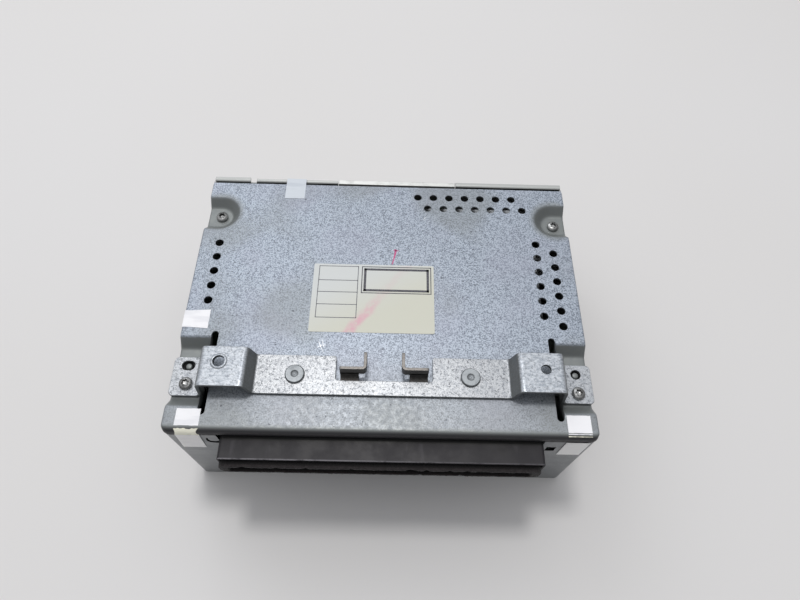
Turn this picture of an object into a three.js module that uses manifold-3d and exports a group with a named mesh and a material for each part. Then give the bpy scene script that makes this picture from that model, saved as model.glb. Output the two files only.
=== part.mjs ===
// A car radio with a disc slot: a flat sheet-metal case with the control panel taken off its front.
// Millimetres. +X is right, +Y is the back, +Z is up. The origin is the middle of the underside.
// Pieces are placed in a group that starts at the front wall, so their Y counts back from there.

import * as THREE from "three";
import { mergeVertices } from "three/addons/utils/BufferGeometryUtils.js";
import Module from "manifold-3d";

const wasm = await Module();
wasm.setup();

// The case and the clearances that every piece uses
const body = { width: 181, depth: 132, height: 67, sheet: 1, cornerRadius: 3 };
const fit = { seat: 0.1, running: 0.3, screw: 0.25, cutOverrun: 2, mergeDistance: 0.0001 };
const facets = { fine: 20, middle: 16, coarse: 12, bend: 4, curve: 2 };

// Top cover: front lip, recesses for its screws, slots and vents
const lip = { proud: 0.2, bendRadius: 3, drop: 3.3, gapBelow: 0.6 };
const coverShortOfWalls = 0.5;
const dimple = { fromBack: 19.8, centreIn: 6.45, rimRadius: 10, floorRadius: 5.7, depth: 4.5 };
const joggle = {
  nearRim: 10.8,
  nearFloor: 15.3,
  farFloor: 39,
  farRim: 43.3,
  depth: 4.7,
  overlap: 2,
  bendRadius: 2,
};
const sideSlot = { centreIn: 15.5, width: 3.1, near: 7.4, far: 46 };
const vent = { diameter: 4, pitch: 8 };
const backVentRow = { fromSide: 27.2, fromBack: 7, count: 7 };
const frontVentRow = { fromSide: 22.2, fromBack: 14, count: 7 };
const innerVentColumn = { fromSide: 17.25, fromBack: 34.8, count: 6 };
const outerVentColumn = { fromSide: 9.1, fromBack: 39.9, count: 6 };
const leftVentColumn = { fromSide: 9.3, fromBack: 38.2, count: 5 };

// Screws with a low domed head and a six-lobed recess
const screw = {
  shankDiameter: 2.8,
  shankLength: 5,
  headDiameter: 5.8,
  headHeight: 1.9,
  edgeHeight: 0.7,
  recessDiameter: 2.6,
  recessDepth: 1.1,
  recessWaistShare: 0.72,
};
const coverScrewLeft = { fromSide: 6.8, fromBack: 19.7 };
const coverScrewRight = { fromSide: 6.1, fromBack: 20.5 };
const bracketScrewLeft = { fromSide: 6, fromFront: 21.8 };
const bracketScrewRight = { fromSide: 5.8, fromFront: 20.9 };
const bottomScrew = {
  centreIn: 9,
  near: 30,
  fromBack: 32,
  padRadius: 6.2,
  padFloorRadius: 4.4,
  padDepth: 2.3,
};

// Tabs folded in from the case walls, each one sheet thick
const tab = { reach: 11, dimpleNear: 6.2, dimpleFar: 6.8, joggleInset: 1.5, bottomHalf: 5 };
const ledge = { height: 8, reach: 9.25, length: 8, near: 16, fromBack: 16 };
const driveLedge = { reach: 16.25, length: 12, near: 36, fromBack: 28 };

// Front wall openings beside the slot nose: a slit round a hanging tongue, and a small window
const frontSlit = { reach: 6.8, leg: 1.1, gap: 1.3, upper: 7.5, tongueEnd: 12.7, bottom: 15.1, radius: 3 };
const frontHole = { fromNose: 2.7, width: 4.1, top: 12, bottom: 17.5 };
const sideHole = { diameter: 5, near: 30, far: 70, height: 33 };

// Bottom cover vents
const bottomVent = { length: 24, width: 3, pitch: 9, count: 5, fromBack: 40 };

// Back panel with its folded top edge, and the finned heat sink in the middle of it
const back = { gap: 1.2, sheet: 1, topDrop: 0.6, foldReach: 2.8, shortFoldReach: 2.1, foldRadius: 1.6 };
const backFold = { cornerLength: 18.25, notch: 3.2, endInset: 0.4 };
const sink = {
  fromNetworkPlug: 4,
  fromMainPlug: 9.2,
  foot: 3,
  baseDepth: 2.7,
  finDepth: 6,
  finThickness: 2,
  finCount: 9,
  finTopDrop: 12,
};

// Zinc-plated bracket across the front of the cover
const bracket = {
  sheet: 1.5,
  near: 16.5,
  far: 34.4,
  waistMiddle: 0.6,
  waistHalf: 20.8,
  waistFar: 23.1,
  overhang: 0.95,
  tabLength: 13.35,
  padGap: 1.2,
  padLength: 19.7,
  rampLength: 2.6,
  padHeight: 9.3,
  bendRadius: 2,
  cornerRadius: 2,
};
const leftPadHole = { fromPadEnd: 8.4, fromFront: 27.4, diameter: 5.1, collar: 1.1, collarHeight: 0.4 };
const rightPadHole = { fromPadEnd: 8.3, fromFront: 26.8, diameter: 4.2 };
const ovalHole = { fromSide: 5.5, fromFront: 30.4, length: 5.7, width: 4.3 };
const roundHole = { fromSide: 5.7, fromFront: 29.9, diameter: 4.3 };
// Half-pierced studs of the cover that locate the bracket in its round hole and its oval one
const stud = { diameter: 3.7, topDiameter: 3.1, height: 1.1, dentDiameter: 2.4, dentDepth: 1.2 };
const hook = {
  outer: 18.7,
  footInner: 10.8,
  inner: 7.35,
  near: 24.9,
  far: 33,
  sheet: 1.3,
  top: 9.6,
  notch: 3,
  bend: 1.8,
};
const rivet = {
  betweenShare: 0.4985,
  fromFront: 25.35,
  headDiameter: 8.5,
  headHeight: 1,
  holeDiameter: 4.4,
  shankDiameter: 3.8,
  tailDiameter: 6.6,
  tailHeight: 0.7,
  dimpleDiameter: 3.2,
  dimpleDepth: 0.6,
};

// Slot nose, its foam ring and its shutter. Heights count down from the top of the cover.
const nose = {
  leftInset: 23.2,
  rightInset: 22.3,
  front: -9.4,
  back: 7.8,
  top: 5.5,
  bottom: 17.5,
  wall: 1.2,
  facePlate: 1.8,
  faceRecess: 1.2,
  rim: 1,
  cornerRadius: 1.5,
};
const slot = { fromSide: 27.9, height: 5.6 };
const foam = { proud: 2.7, top: 8.1, bottom: 16.4, endInset: 1.5, openingInset: 0.4, cornerRadius: 3.6 };
const shutter = { axisTop: 8, axisBack: 2, sheet: 1, pinDiameter: 2, pinLength: 1.6, barrelDiameter: 2.4 };

// Printed label and the four white seals
const paper = { thickness: 0.12, lift: 0.03, cornerRadius: 0.8 };
const infoLabel = { left: -34.1, right: 22.7, near: 46.7, far: 83 };
const sealWidth = 10.3;
const seals = {
  backMiddle: -47.5,
  backReach: 9.6,
  leftNear: 47.2,
  leftFar: 57.1,
  leftDrop: 6,
  leftReach: 11.55,
  frontLeftInset: 10.65,
  frontLeftReach: 9.8,
  frontLeftDrop: 21,
  frontRightInset: 8,
  frontRightReach: 10.1,
  frontRightDrop: 22,
};

// Circuit board and what stands on it
const board = { near: 10, fromBack: 6, fromSide: 6.5, thickness: 1.6 };
const tuner = { fromBoardEnd: 4, width: 30, fromBack: 18, length: 30, height: 13 };
const shield = { left: -32, right: 12, near: 38, far: 74, height: 4 };
const amplifier = { width: 25, thickness: 5, height: 19 };
const leftCapacitor = { fromMiddle: 32, fromBack: 28, diameter: 16, underDrive: 6.2 };
const rightCapacitor = { fromMiddle: 36, fromBack: 52, diameter: 12.5, underDrive: 8.2 };
const plugWell = { wall: 2, proud: 5, wellDepth: 12, backWall: 3 };
const mainPlug = { inset: 10.5, width: 36, fromBack: 20, underDrive: 6.3, columns: 8, rows: 2 };
const mainPin = { pinSize: 1, pinLength: 5 };
const networkPlug = { inset: 44.5, width: 16, fromBack: 16, height: 12, columns: 2, rows: 1 };
const networkPin = { pinSize: 1.2, pinLength: 5 };
const aerialPlug = { inset: 12.5, gap: 4.4, width: 10.6, fromBack: 16, height: 10.6, columns: 1, rows: 1 };
const aerialPin = { pinSize: 1.4, pinLength: 5 };
const ribbonSocket = { fromDeckEnd: 20, fromBack: 32, width: 16, depth: 5, height: 6 };

// Disc drive. Its own group starts at the middle of a disc held in it, with Z up from that disc's mid plane.
const disc = { thickness: 1.2, depthUnderTop: 12.25 };
const frame = {
  sideGap: 16.5,
  frontGap: 8,
  backGap: 10,
  floorDrop: 18.75,
  wallRise: 6.2,
  sheet: 1,
  motorWindow: 12.5,
  rim: 14,
};
const deck = {
  leftInset: 24,
  rightInset: 1.6,
  frontInset: 24,
  backInset: 18,
  drop: 10.55,
  sheet: 1.2,
  cutWidth: 28.4,
  cutGap: 6.86,
};
const lid = { sideInset: 24, edgeInset: 18, earAt: 32, earHalf: 4, earDrop: 5 };
const damper = { diameter: 10, waistShare: 0.72, groove: 1.4, inset: 7 };
const toothed = {
  module: 0.8,
  width: 3,
  fromFrame: 8,
  rollerTeeth: 10,
  idlerTeeth: 21,
  pinionTeeth: 10,
  boreDiameter: 3.6,
};
const toothForm = { rootShare: 1.15, tipShare: 0.85, rootHalfShare: 0.31, tipHalfShare: 0.12 };
const pinionDrop = THREE.MathUtils.degToRad(25);
const roller = {
  inset: 6,
  sideInset: 13,
  rubberDiameter: 7,
  waistDiameter: 5.8,
  shaftDiameter: 3,
  discClearance: 0.2,
};
const loader = { gearGap: 2, length: 16, diameter: 11, cradleDepth: 8, shaftDiameter: 1.5 };
const guide = { inset: 1, depth: 8, bottom: 1.9, top: 5.9, funnel: 2 };
const spindle = { motorDiameter: 20, motorHeight: 10, shaftDiameter: 2, shaftTop: -3.5, deckHole: 7 };
const turntable = {
  rimDiameter: 29,
  rimTop: -1.1,
  rimThickness: 1.6,
  coneTop: 0.7,
  coneDiameter: 14.6,
  coneTopDiameter: 11,
  hubDiameter: 9,
  bottom: -9.9,
};
const rail = {
  diameter: 3,
  y: 15,
  drop: 7.75,
  startGap: 2.8,
  fromDeckEnd: 0.8,
  postLength: 3.2,
  postWidth: 6,
  postRise: 3,
};
const sled = {
  lensAt: 24,
  halfLength: 10,
  halfWidth: 12,
  bottom: -9.9,
  top: -4.9,
  earWidth: 6,
  nutWidth: 6,
};
const lens = { diameter: 6, holderDiameter: 9, holderTop: -3.9, top: -3 };
const feed = { y: 23.5, diameter: 2.6, motorDiameter: 9, motorFrom: -10, motorTo: 10.5, windowMargin: 1 };
const clampArm = {
  pivotInset: 4,
  pivotZ: 4.5,
  sheet: 1,
  bottom: 4,
  near: -15,
  halfWidth: 15,
  pivotHalf: 30,
  pinDiameter: 2.4,
};
const clampDisc = {
  diameter: 26,
  bottom: 1.9,
  thickness: 1.6,
  hubDiameter: 8,
  capDiameter: 12,
  capThickness: 0.6,
  recessDiameter: 15.4,
  recessDepth: 1.2,
};
const ribbon = { width: 12, thickness: 0.3, slack: 8, bendRadius: 3 };

// Colours, roughness and metalness of the materials
const finishes = {
  case_sheet: [0x9aa6b5, 0.42, 0.85],
  zinc_bracket: [0xd3d8de, 0.38, 0.85],
  back_sheet: [0xb9bcba, 0.45, 0.85],
  bright_steel: [0xb7bac0, 0.3, 0.9],
  cast_aluminium: [0xc9cbc9, 0.5, 0.9],
  black_plastic: [0x38373b, 0.55, 0],
  black_foam: [0x1e1c1e, 0.95, 0],
  black_rubber: [0x222222, 0.8, 0],
  label_paper: [0xe9e2cb, 0.6, 0],
  seal_paper: [0xf0f3f6, 0.55, 0],
  green_board: [0x1f6b3c, 0.5, 0],
  tinned_steel: [0xb5b9bc, 0.35, 0.9],
  grey_plastic: [0x6d7276, 0.5, 0],
  white_plastic: [0xe4e2da, 0.5, 0],
  blue_sleeve: [0x27407c, 0.4, 0],
  lens_glass: [0x8fa6c8, 0.05, 0],
  ribbon_film: [0xd8cfa6, 0.5, 0],
};

// Values worked out from the sizes above
const half = body.width / 2;
const top = body.height;
const coverUnder = top - body.sheet;
const wallTop = coverUnder - fit.seat;
const backFace = body.depth + back.gap;
const boardTop = ledge.height + fit.seat + board.thickness;
const boardHalf = half - board.fromSide;
const boardFar = body.depth - board.fromBack;
const discMiddle = body.depth / 2;
const discHeight = top - disc.depthUnderTop;
const bracketTop = bracket.sheet + fit.seat;
const screwHole = screw.shankDiameter / 2 + fit.screw;
const dimpleY = body.depth - dimple.fromBack;
const tabEnd = half + bracket.overhang;
const tabStart = tabEnd - bracket.tabLength;
const padEnd = tabStart - bracket.padGap;
const padStart = padEnd - bracket.padLength;
const stripEnd = padStart - bracket.rampLength;
const rivetX = bracket.waistHalf + rivet.betweenShare * (stripEnd - bracket.waistHalf);
const noseLeft = nose.leftInset - half;
const noseRight = half - nose.rightInset;
const slotHalf = half - slot.fromSide;
const frameHalf = half - frame.sideGap;
const frameFront = frame.frontGap - discMiddle;
const frameBack = discMiddle - frame.backGap;
const frameTop = -frame.floorDrop + frame.sheet;
const windowHalf = frameHalf - lid.sideInset;
const rollerY = frameFront + roller.inset;
const toothedFrom = frameHalf - toothed.fromFrame;
const loaderTo = toothedFrom - loader.gearGap;
const loaderFrom = loaderTo - loader.length;
const pivotY = frameBack - clampArm.pivotInset;
const headroom = discHeight - frame.floorDrop - boardTop;
const rollerHeight = -disc.thickness / 2 - roller.discClearance - roller.rubberDiameter / 2;
const rollerRadius = (toothed.module * toothed.rollerTeeth) / 2;
const idlerRadius = (toothed.module * toothed.idlerTeeth) / 2;
const pinionRadius = (toothed.module * toothed.pinionTeeth) / 2;
const idlerY = rollerY + rollerRadius + idlerRadius;
const pinionY = idlerY + (idlerRadius + pinionRadius) * Math.cos(pinionDrop);
const pinionZ = rollerHeight - (idlerRadius + pinionRadius) * Math.sin(pinionDrop);
const slotTop = disc.depthUnderTop - slot.height / 2;
const slotBottom = disc.depthUnderTop + slot.height / 2;
const shutterReach = nose.bottom - nose.wall - shutter.axisTop - fit.running;
const deckLeft = deck.leftInset - frameHalf;
const deckRight = frameHalf - deck.rightInset;
const deckNear = frameFront + deck.frontInset;
const deckFar = frameBack - deck.backInset;
const deckCutLeft = deckRight - deck.cutWidth;
const deckCutFar = pinionY + loader.diameter / 2 + deck.cutGap;
const railStart = sled.lensAt - sled.halfLength - rail.startGap - rail.postLength;
const railEnd = deckRight - rail.fromDeckEnd;
const ribbonX = deckLeft + ribbonSocket.fromDeckEnd;
const networkLeft = networkPlug.inset - half;
const mainLeft = half - mainPlug.inset - mainPlug.width;
const sinkLeft = networkLeft + networkPlug.width + sink.fromNetworkPlug;
const sinkRight = mainLeft - sink.fromMainPlug;
const aerialLeft = aerialPlug.inset - half;
const aerialRight = aerialLeft + aerialPlug.width + aerialPlug.gap;

const coverScrewSpots = [
  {
    name: "cover_screw_back_left",
    fromMiddle: coverScrewLeft.fromSide - half,
    fromFront: body.depth - coverScrewLeft.fromBack,
  },
  {
    name: "cover_screw_back_right",
    fromMiddle: half - coverScrewRight.fromSide,
    fromFront: body.depth - coverScrewRight.fromBack,
  },
];
const bracketScrewSpots = [
  {
    name: "bracket_screw_left",
    fromMiddle: bracketScrewLeft.fromSide - half,
    fromFront: bracketScrewLeft.fromFront,
  },
  {
    name: "bracket_screw_right",
    fromMiddle: half - bracketScrewRight.fromSide,
    fromFront: bracketScrewRight.fromFront,
  },
];
const padHoles = [
  { ...leftPadHole, fromMiddle: leftPadHole.fromPadEnd - padEnd },
  { ...rightPadHole, fromMiddle: padEnd - rightPadHole.fromPadEnd },
];
const damperSpots = [
  { name: "rubber_damper_1", x: deckLeft + damper.inset, y: deckNear + damper.inset },
  { name: "rubber_damper_2", x: deckLeft + damper.inset, y: deckFar - damper.inset },
  { name: "rubber_damper_3", x: deckCutLeft - damper.inset, y: deckNear + damper.inset },
  { name: "rubber_damper_4", x: deckRight - damper.inset, y: deckFar - damper.inset },
];
const capacitors = [
  { ...leftCapacitor, name: "power_capacitor_left" },
  { ...rightCapacitor, name: "power_capacitor_right" },
];
const mainSocket = { ...mainPlug, ...mainPin, left: mainLeft, height: headroom - mainPlug.underDrive };
const networkSocket = { ...networkPlug, ...networkPin, left: networkLeft };
const aerialSockets = [
  { ...aerialPlug, ...aerialPin, name: "aerial_socket_left", left: aerialLeft },
  { ...aerialPlug, ...aerialPin, name: "aerial_socket_right", left: aerialRight },
];

const point = (x, y) => new THREE.Vector2(x, y);
const sides = [-1, 1];

// Turns a closed three.js geometry into a solid that can be joined and cut.
function solid(geometry) {
  geometry.deleteAttribute("normal");
  geometry.deleteAttribute("uv");
  const merged = mergeVertices(geometry, fit.mergeDistance);
  const corners = Array.from(merged.index.array);
  const kept = [];
  for (let i = 0; i < corners.length; i += 3) {
    const [a, b, c] = corners.slice(i, i + 3);
    if (a !== b && b !== c && c !== a) kept.push(a, b, c);
  }
  const mesh = new wasm.Mesh({
    numProp: 3,
    vertProperties: merged.attributes.position.array,
    triVerts: new Uint32Array(kept),
  });
  return new wasm.Manifold(mesh);
}

// A box between two opposite corners.
function block(x0, x1, y0, y1, z0, z1) {
  const geometry = new THREE.BoxGeometry(x1 - x0, y1 - y0, z1 - z0);
  return solid(geometry.translate((x0 + x1) / 2, (y0 + y1) / 2, (z0 + z1) / 2));
}

function extruded(shape, length) {
  const options = { depth: length, bevelEnabled: false, curveSegments: facets.curve };
  return new THREE.ExtrudeGeometry(shape, options);
}

// A plan outline raised from z0 to z1.
function upright(shape, z0, z1) {
  return solid(extruded(shape, z1 - z0).translate(0, 0, z0));
}

// A Y-Z outline carried along X from x0 to x1.
function across(shape, x0, x1) {
  const turn = new THREE.Matrix4().makeBasis(
    new THREE.Vector3(0, 1, 0),
    new THREE.Vector3(0, 0, 1),
    new THREE.Vector3(1, 0, 0),
  );
  return solid(extruded(shape, x1 - x0).applyMatrix4(turn).translate(x0, 0, 0));
}

// An X-Z outline carried along Y from y0 to y1.
function lengthwise(shape, y0, y1) {
  return solid(extruded(shape, y1 - y0).rotateX(Math.PI / 2).translate(0, y1, 0));
}

// A round bar or frustum standing on (x, y, z0).
function post(x, y, z0, z1, radiusLow, radiusHigh = radiusLow, count = facets.middle) {
  const geometry = new THREE.CylinderGeometry(radiusHigh, radiusLow, z1 - z0, count);
  return solid(geometry.rotateX(Math.PI / 2).translate(x, y, (z0 + z1) / 2));
}

// A round bar along X around the line (y, z).
function bar(x0, x1, y, z, radius, count = facets.middle) {
  const geometry = new THREE.CylinderGeometry(radius, radius, x1 - x0, count);
  return solid(geometry.rotateZ(Math.PI / 2).translate((x0 + x1) / 2, y, z));
}

// A profile of [radius, height] pairs turned about Z.
function turned(profile, count = facets.middle) {
  const points = profile.map(([radius, height]) => point(radius, height));
  return solid(new THREE.LatheGeometry(points, count).rotateX(Math.PI / 2));
}

// The corners of a bent sheet's face, with each inner corner replaced by an arc.
function bentPath(corners, radius) {
  const path = [corners[0]];
  for (let i = 1; i < corners.length - 1; i += 1) {
    const into = corners[i].clone().sub(corners[i - 1]).normalize();
    const out = corners[i + 1].clone().sub(corners[i]).normalize();
    const turn = Math.atan2(into.cross(out), into.dot(out));
    const reach = radius * Math.tan(Math.abs(turn) / 2);
    const start = corners[i].clone().addScaledVector(into, -reach);
    const inward = point(-into.y, into.x).multiplyScalar(Math.sign(turn) * radius);
    const centre = start.clone().add(inward);
    for (let step = 0; step <= facets.bend; step += 1) {
      path.push(start.clone().rotateAround(centre, (turn * step) / facets.bend));
    }
  }
  path.push(corners[corners.length - 1]);
  return path;
}

// The outline of a sheet whose one face follows the path and whose thickness lies on its right.
function sheetShape(path, thickness) {
  const far = path.map((spot, i) => {
    const from = path[Math.max(i - 1, 0)];
    const to = path[Math.min(i + 1, path.length - 1)];
    const into = (i > 0 ? spot.clone().sub(from) : to.clone().sub(spot)).normalize();
    const out = (i < path.length - 1 ? to.clone().sub(spot) : into.clone()).normalize();
    const share = thickness / (1 + into.dot(out));
    return point(spot.x + (into.y + out.y) * share, spot.y - (into.x + out.x) * share);
  });
  return new THREE.Shape([...path, ...far.reverse()]);
}

// A rectangle with rounded corners.
function roundedRectangle(x0, x1, y0, y1, radius) {
  const shape = new THREE.Shape();
  shape.absarc(x1 - radius, y0 + radius, radius, -Math.PI / 2, 0);
  shape.absarc(x1 - radius, y1 - radius, radius, 0, Math.PI / 2);
  shape.absarc(x0 + radius, y1 - radius, radius, Math.PI / 2, Math.PI);
  shape.absarc(x0 + radius, y0 + radius, radius, Math.PI, Math.PI * 1.5);
  return shape;
}

const joined = (pieces) => pieces.reduce((whole, piece) => whole.add(piece));
const cutBy = (whole, cutters) => cutters.reduce((left, cutter) => left.subtract(cutter), whole);

const materials = new Map(
  Object.entries(finishes).map(([name, [color, roughness, metalness]]) => [
    name,
    new THREE.MeshStandardMaterial({ name, color, roughness, metalness }),
  ]),
);

// Puts a finished solid into a group as a named mesh.
function place(group, name, made, finish, position = [0, 0, 0]) {
  const { numProp, vertProperties, triVerts } = made.getMesh();
  const geometry = new THREE.BufferGeometry();
  const places = new THREE.InterleavedBuffer(vertProperties, numProp);
  geometry.setAttribute("position", new THREE.InterleavedBufferAttribute(places, 3, 0));
  geometry.setIndex(new THREE.BufferAttribute(triVerts, 1));
  const flat = geometry.toNonIndexed();
  flat.computeVertexNormals();
  const mesh = new THREE.Mesh(flat, materials.get(finish));
  mesh.name = name;
  mesh.position.set(...position);
  group.add(mesh);
  return mesh;
}

// The hollow of a rear dimple: a frustum carried out to the side edge of the cover.
function dimpleBody(side, drop) {
  const x = side * (half - dimple.centreIn);
  const high = top + fit.cutOverrun;
  const slope = (dimple.rimRadius - dimple.floorRadius) / dimple.depth;
  const widest = dimple.rimRadius + slope * (fit.cutOverrun + drop);
  const floor = top - dimple.depth - drop;
  const y = dimpleY;
  const cone = post(x, y, floor, high, dimple.floorRadius, widest, facets.fine);
  const section = new THREE.Shape([
    point(y - dimple.floorRadius, floor),
    point(y + dimple.floorRadius, floor),
    point(y + widest, high),
    point(y - widest, high),
  ]);
  const edge = side * (half + fit.cutOverrun);
  return cone.add(across(section, Math.min(x, edge), Math.max(x, edge)));
}

// The two rims and the floor of a front recess, seen from the side.
function jogglePath() {
  return bentPath(
    [
      point(joggle.nearRim - joggle.overlap, top),
      point(joggle.nearRim, top),
      point(joggle.nearFloor, top - joggle.depth),
      point(joggle.farFloor, top - joggle.depth),
      point(joggle.farRim, top),
      point(joggle.farRim + joggle.overlap, top),
    ],
    joggle.bendRadius,
  );
}

function ventCutters() {
  const cutters = [];
  const radius = vent.diameter / 2;
  const drill = (x, y) => {
    const low = coverUnder - joggle.depth - fit.cutOverrun;
    cutters.push(post(x, y, low, top + fit.cutOverrun, radius, radius, facets.coarse));
  };
  for (const { fromSide, fromBack, count } of [backVentRow, frontVentRow]) {
    for (let i = 0; i < count; i += 1) drill(half - fromSide - i * vent.pitch, body.depth - fromBack);
  }
  for (const { fromSide, fromBack, count } of [innerVentColumn, outerVentColumn]) {
    for (let i = 0; i < count; i += 1) drill(half - fromSide, body.depth - fromBack - i * vent.pitch);
  }
  for (let i = 0; i < leftVentColumn.count; i += 1) {
    drill(leftVentColumn.fromSide - half, body.depth - leftVentColumn.fromBack - i * vent.pitch);
  }
  return cutters;
}

function topCover() {
  const backEdge = body.depth - coverShortOfWalls;
  const corners = [point(-lip.proud, top - lip.drop), point(-lip.proud, top), point(backEdge, top)];
  const section = sheetShape(bentPath(corners, lip.bendRadius), body.sheet);
  const slotInner = half - sideSlot.centreIn - sideSlot.width / 2;
  const slotOuter = slotInner + sideSlot.width;
  const nearEdge = joggle.nearRim - joggle.overlap / 2;
  const farEdge = joggle.farRim + joggle.overlap / 2;
  let cover = across(section, -half, half);
  for (const side of sides) {
    const inner = Math.min(side * slotOuter, side * half);
    const outer = Math.max(side * slotOuter, side * half);
    const opened = block(
      inner - fit.cutOverrun,
      outer + fit.cutOverrun,
      nearEdge,
      farEdge,
      coverUnder - fit.cutOverrun,
      top + fit.cutOverrun,
    );
    const pressed = across(sheetShape(jogglePath(), body.sheet), inner, outer);
    const shell = dimpleBody(side, body.sheet).intersect(
      block(-half, half, 0, body.depth, top - dimple.depth - body.sheet, top),
    );
    const slotShape = roundedRectangle(
      Math.min(side * slotInner, side * slotOuter),
      Math.max(side * slotInner, side * slotOuter),
      sideSlot.near,
      sideSlot.far,
      sideSlot.width / 2,
    );
    const slotCut = upright(slotShape, top - joggle.depth - fit.cutOverrun, top + fit.cutOverrun);
    cover = cover.subtract(opened).add(pressed).subtract(slotCut).add(shell).subtract(dimpleBody(side, 0));
  }
  const through = [coverUnder - joggle.depth - fit.cutOverrun, top + fit.cutOverrun];
  const screwCuts = [...coverScrewSpots, ...bracketScrewSpots].map((spot) =>
    post(spot.fromMiddle, spot.fromFront, ...through, screwHole, screwHole, facets.coarse),
  );
  const rivetCuts = sides.map((side) =>
    post(side * rivetX, rivet.fromFront, ...through, rivet.holeDiameter / 2),
  );
  const floor = top - joggle.depth;
  for (const [x, y] of studSpots()) {
    const dent = stud.dentDiameter / 2;
    const low = floor - body.sheet;
    const raised = [floor - fit.seat, floor + stud.height, stud.diameter / 2, stud.topDiameter / 2];
    cover = cover.add(post(x, y, ...raised, facets.coarse));
    cover = cover.subtract(post(x, y, low - fit.cutOverrun, low + stud.dentDepth, dent, dent, facets.coarse));
  }
  return cutBy(cover, [...ventCutters(), ...screwCuts, ...rivetCuts]);
}

function studSpots() {
  return [
    [ovalHole.fromSide - half, ovalHole.fromFront],
    [half - roundHole.fromSide, roundHole.fromFront],
  ];
}

// Everything under the cover's recesses that the case walls must leave free.
function recessClearance(side) {
  const path = jogglePath();
  const high = top + fit.cutOverrun;
  const above = [point(joggle.farRim + joggle.overlap, high), point(joggle.nearRim - joggle.overlap, high)];
  const inner = side * (half - sideSlot.centreIn);
  const outer = side * (half + fit.cutOverrun);
  const ends = [Math.min(inner, outer), Math.max(inner, outer)];
  const open = across(new THREE.Shape([...path, ...above]), ...ends);
  const front = open.add(across(sheetShape(path, body.sheet + fit.seat), ...ends));
  return front.add(dimpleBody(side, body.sheet + fit.seat));
}

// A slit that runs down, along and up again beside the nose, so that a tongue hangs between its two legs.
function tongueSlit(y0, y1) {
  const left = noseLeft - frontSlit.reach;
  const right = noseLeft - frontSlit.gap;
  const radius = frontSlit.radius;
  const end = top - frontSlit.tongueEnd;
  const round = roundedRectangle(left, noseLeft, top - frontSlit.bottom, top - frontSlit.upper, radius);
  const tongue = roundedRectangle(left + frontSlit.leg, right, end, top, radius - frontSlit.leg);
  return lengthwise(round, y0, y1)
    .add(block(right, noseLeft, y0, y1, end, top))
    .subtract(lengthwise(tongue, y0, y1));
}

// Front and side walls in one bent sheet, with the tabs that carry the covers, the board and the drive.
function caseWalls() {
  const rear = backFace - fit.seat;
  const foot = body.sheet + fit.seat;
  const plan = sheetShape(
    bentPath([point(half, rear), point(half, 0), point(-half, 0), point(-half, rear)], body.cornerRadius),
    body.sheet,
  );
  let walls = upright(plan, foot, wallTop);
  const inside = half - body.sheet / 2;
  const y = [-fit.cutOverrun, body.sheet + fit.cutOverrun];
  const holeLeft = noseRight + frontHole.fromNose;
  const cuts = [
    block(-half, half, -fit.cutOverrun, lip.bendRadius + fit.running, top - lip.drop - lip.gapBelow, top),
    block(noseLeft - fit.running, noseRight + fit.running, ...y, top - nose.bottom - fit.running, top),
    tongueSlit(...y),
    block(holeLeft, holeLeft + frontHole.width, ...y, top - frontHole.bottom, top - frontHole.top),
  ];
  for (const side of sides) {
    cuts.push(recessClearance(side));
    for (const spot of [sideHole.near, sideHole.far]) {
      const from = Math.min(side * (half - body.sheet - fit.cutOverrun), side * (half + fit.cutOverrun));
      const to = from + body.sheet + 2 * fit.cutOverrun;
      cuts.push(bar(from, to, spot, sideHole.height, sideHole.diameter / 2));
    }
  }
  walls = cutBy(walls, cuts);
  const added = [];
  for (const side of sides) {
    const shelf = (reach, y0, y1, upper) => {
      const inner = side * (half - body.sheet - reach);
      const outer = side * inside;
      added.push(block(Math.min(inner, outer), Math.max(inner, outer), y0, y1, upper - body.sheet, upper));
    };
    const inset = tab.joggleInset;
    shelf(tab.reach, dimpleY - tab.dimpleNear, dimpleY + tab.dimpleFar, coverUnder - dimple.depth - fit.seat);
    shelf(tab.reach, joggle.nearFloor + inset, joggle.farFloor - inset, coverUnder - joggle.depth - fit.seat);
    for (const spot of [bottomScrew.near, body.depth - bottomScrew.fromBack]) {
      const upper = bottomScrew.padDepth + 2 * body.sheet + fit.seat;
      shelf(tab.reach, spot - tab.bottomHalf, spot + tab.bottomHalf, upper);
    }
    for (const spot of [ledge.near, body.depth - ledge.fromBack]) {
      shelf(ledge.reach, spot - ledge.length / 2, spot + ledge.length / 2, ledge.height);
    }
    for (const spot of [driveLedge.near, body.depth - driveLedge.fromBack]) {
      const upper = discHeight - frame.floorDrop - fit.seat;
      shelf(driveLedge.reach, spot - driveLedge.length / 2, spot + driveLedge.length / 2, upper);
    }
  }
  walls = joined([walls, ...added]);
  const drilled = [];
  for (const spot of [...coverScrewSpots, ...bracketScrewSpots]) {
    drilled.push(post(spot.fromMiddle, spot.fromFront, discHeight, top, screwHole, screwHole, facets.coarse));
  }
  for (const spot of bottomScrewSpots()) {
    drilled.push(post(spot.x, spot.y, 0, ledge.height - body.sheet, screwHole, screwHole, facets.coarse));
  }
  return cutBy(walls, drilled);
}

function bottomScrewSpots() {
  const spots = [];
  for (const side of sides) {
    for (const y of [bottomScrew.near, body.depth - bottomScrew.fromBack]) {
      const ends = [side < 0 ? "left" : "right", y === bottomScrew.near ? "front" : "back"];
      spots.push({ name: `bottom_screw_${ends[1]}_${ends[0]}`, x: side * (half - bottomScrew.centreIn), y });
    }
  }
  return spots;
}

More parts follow.
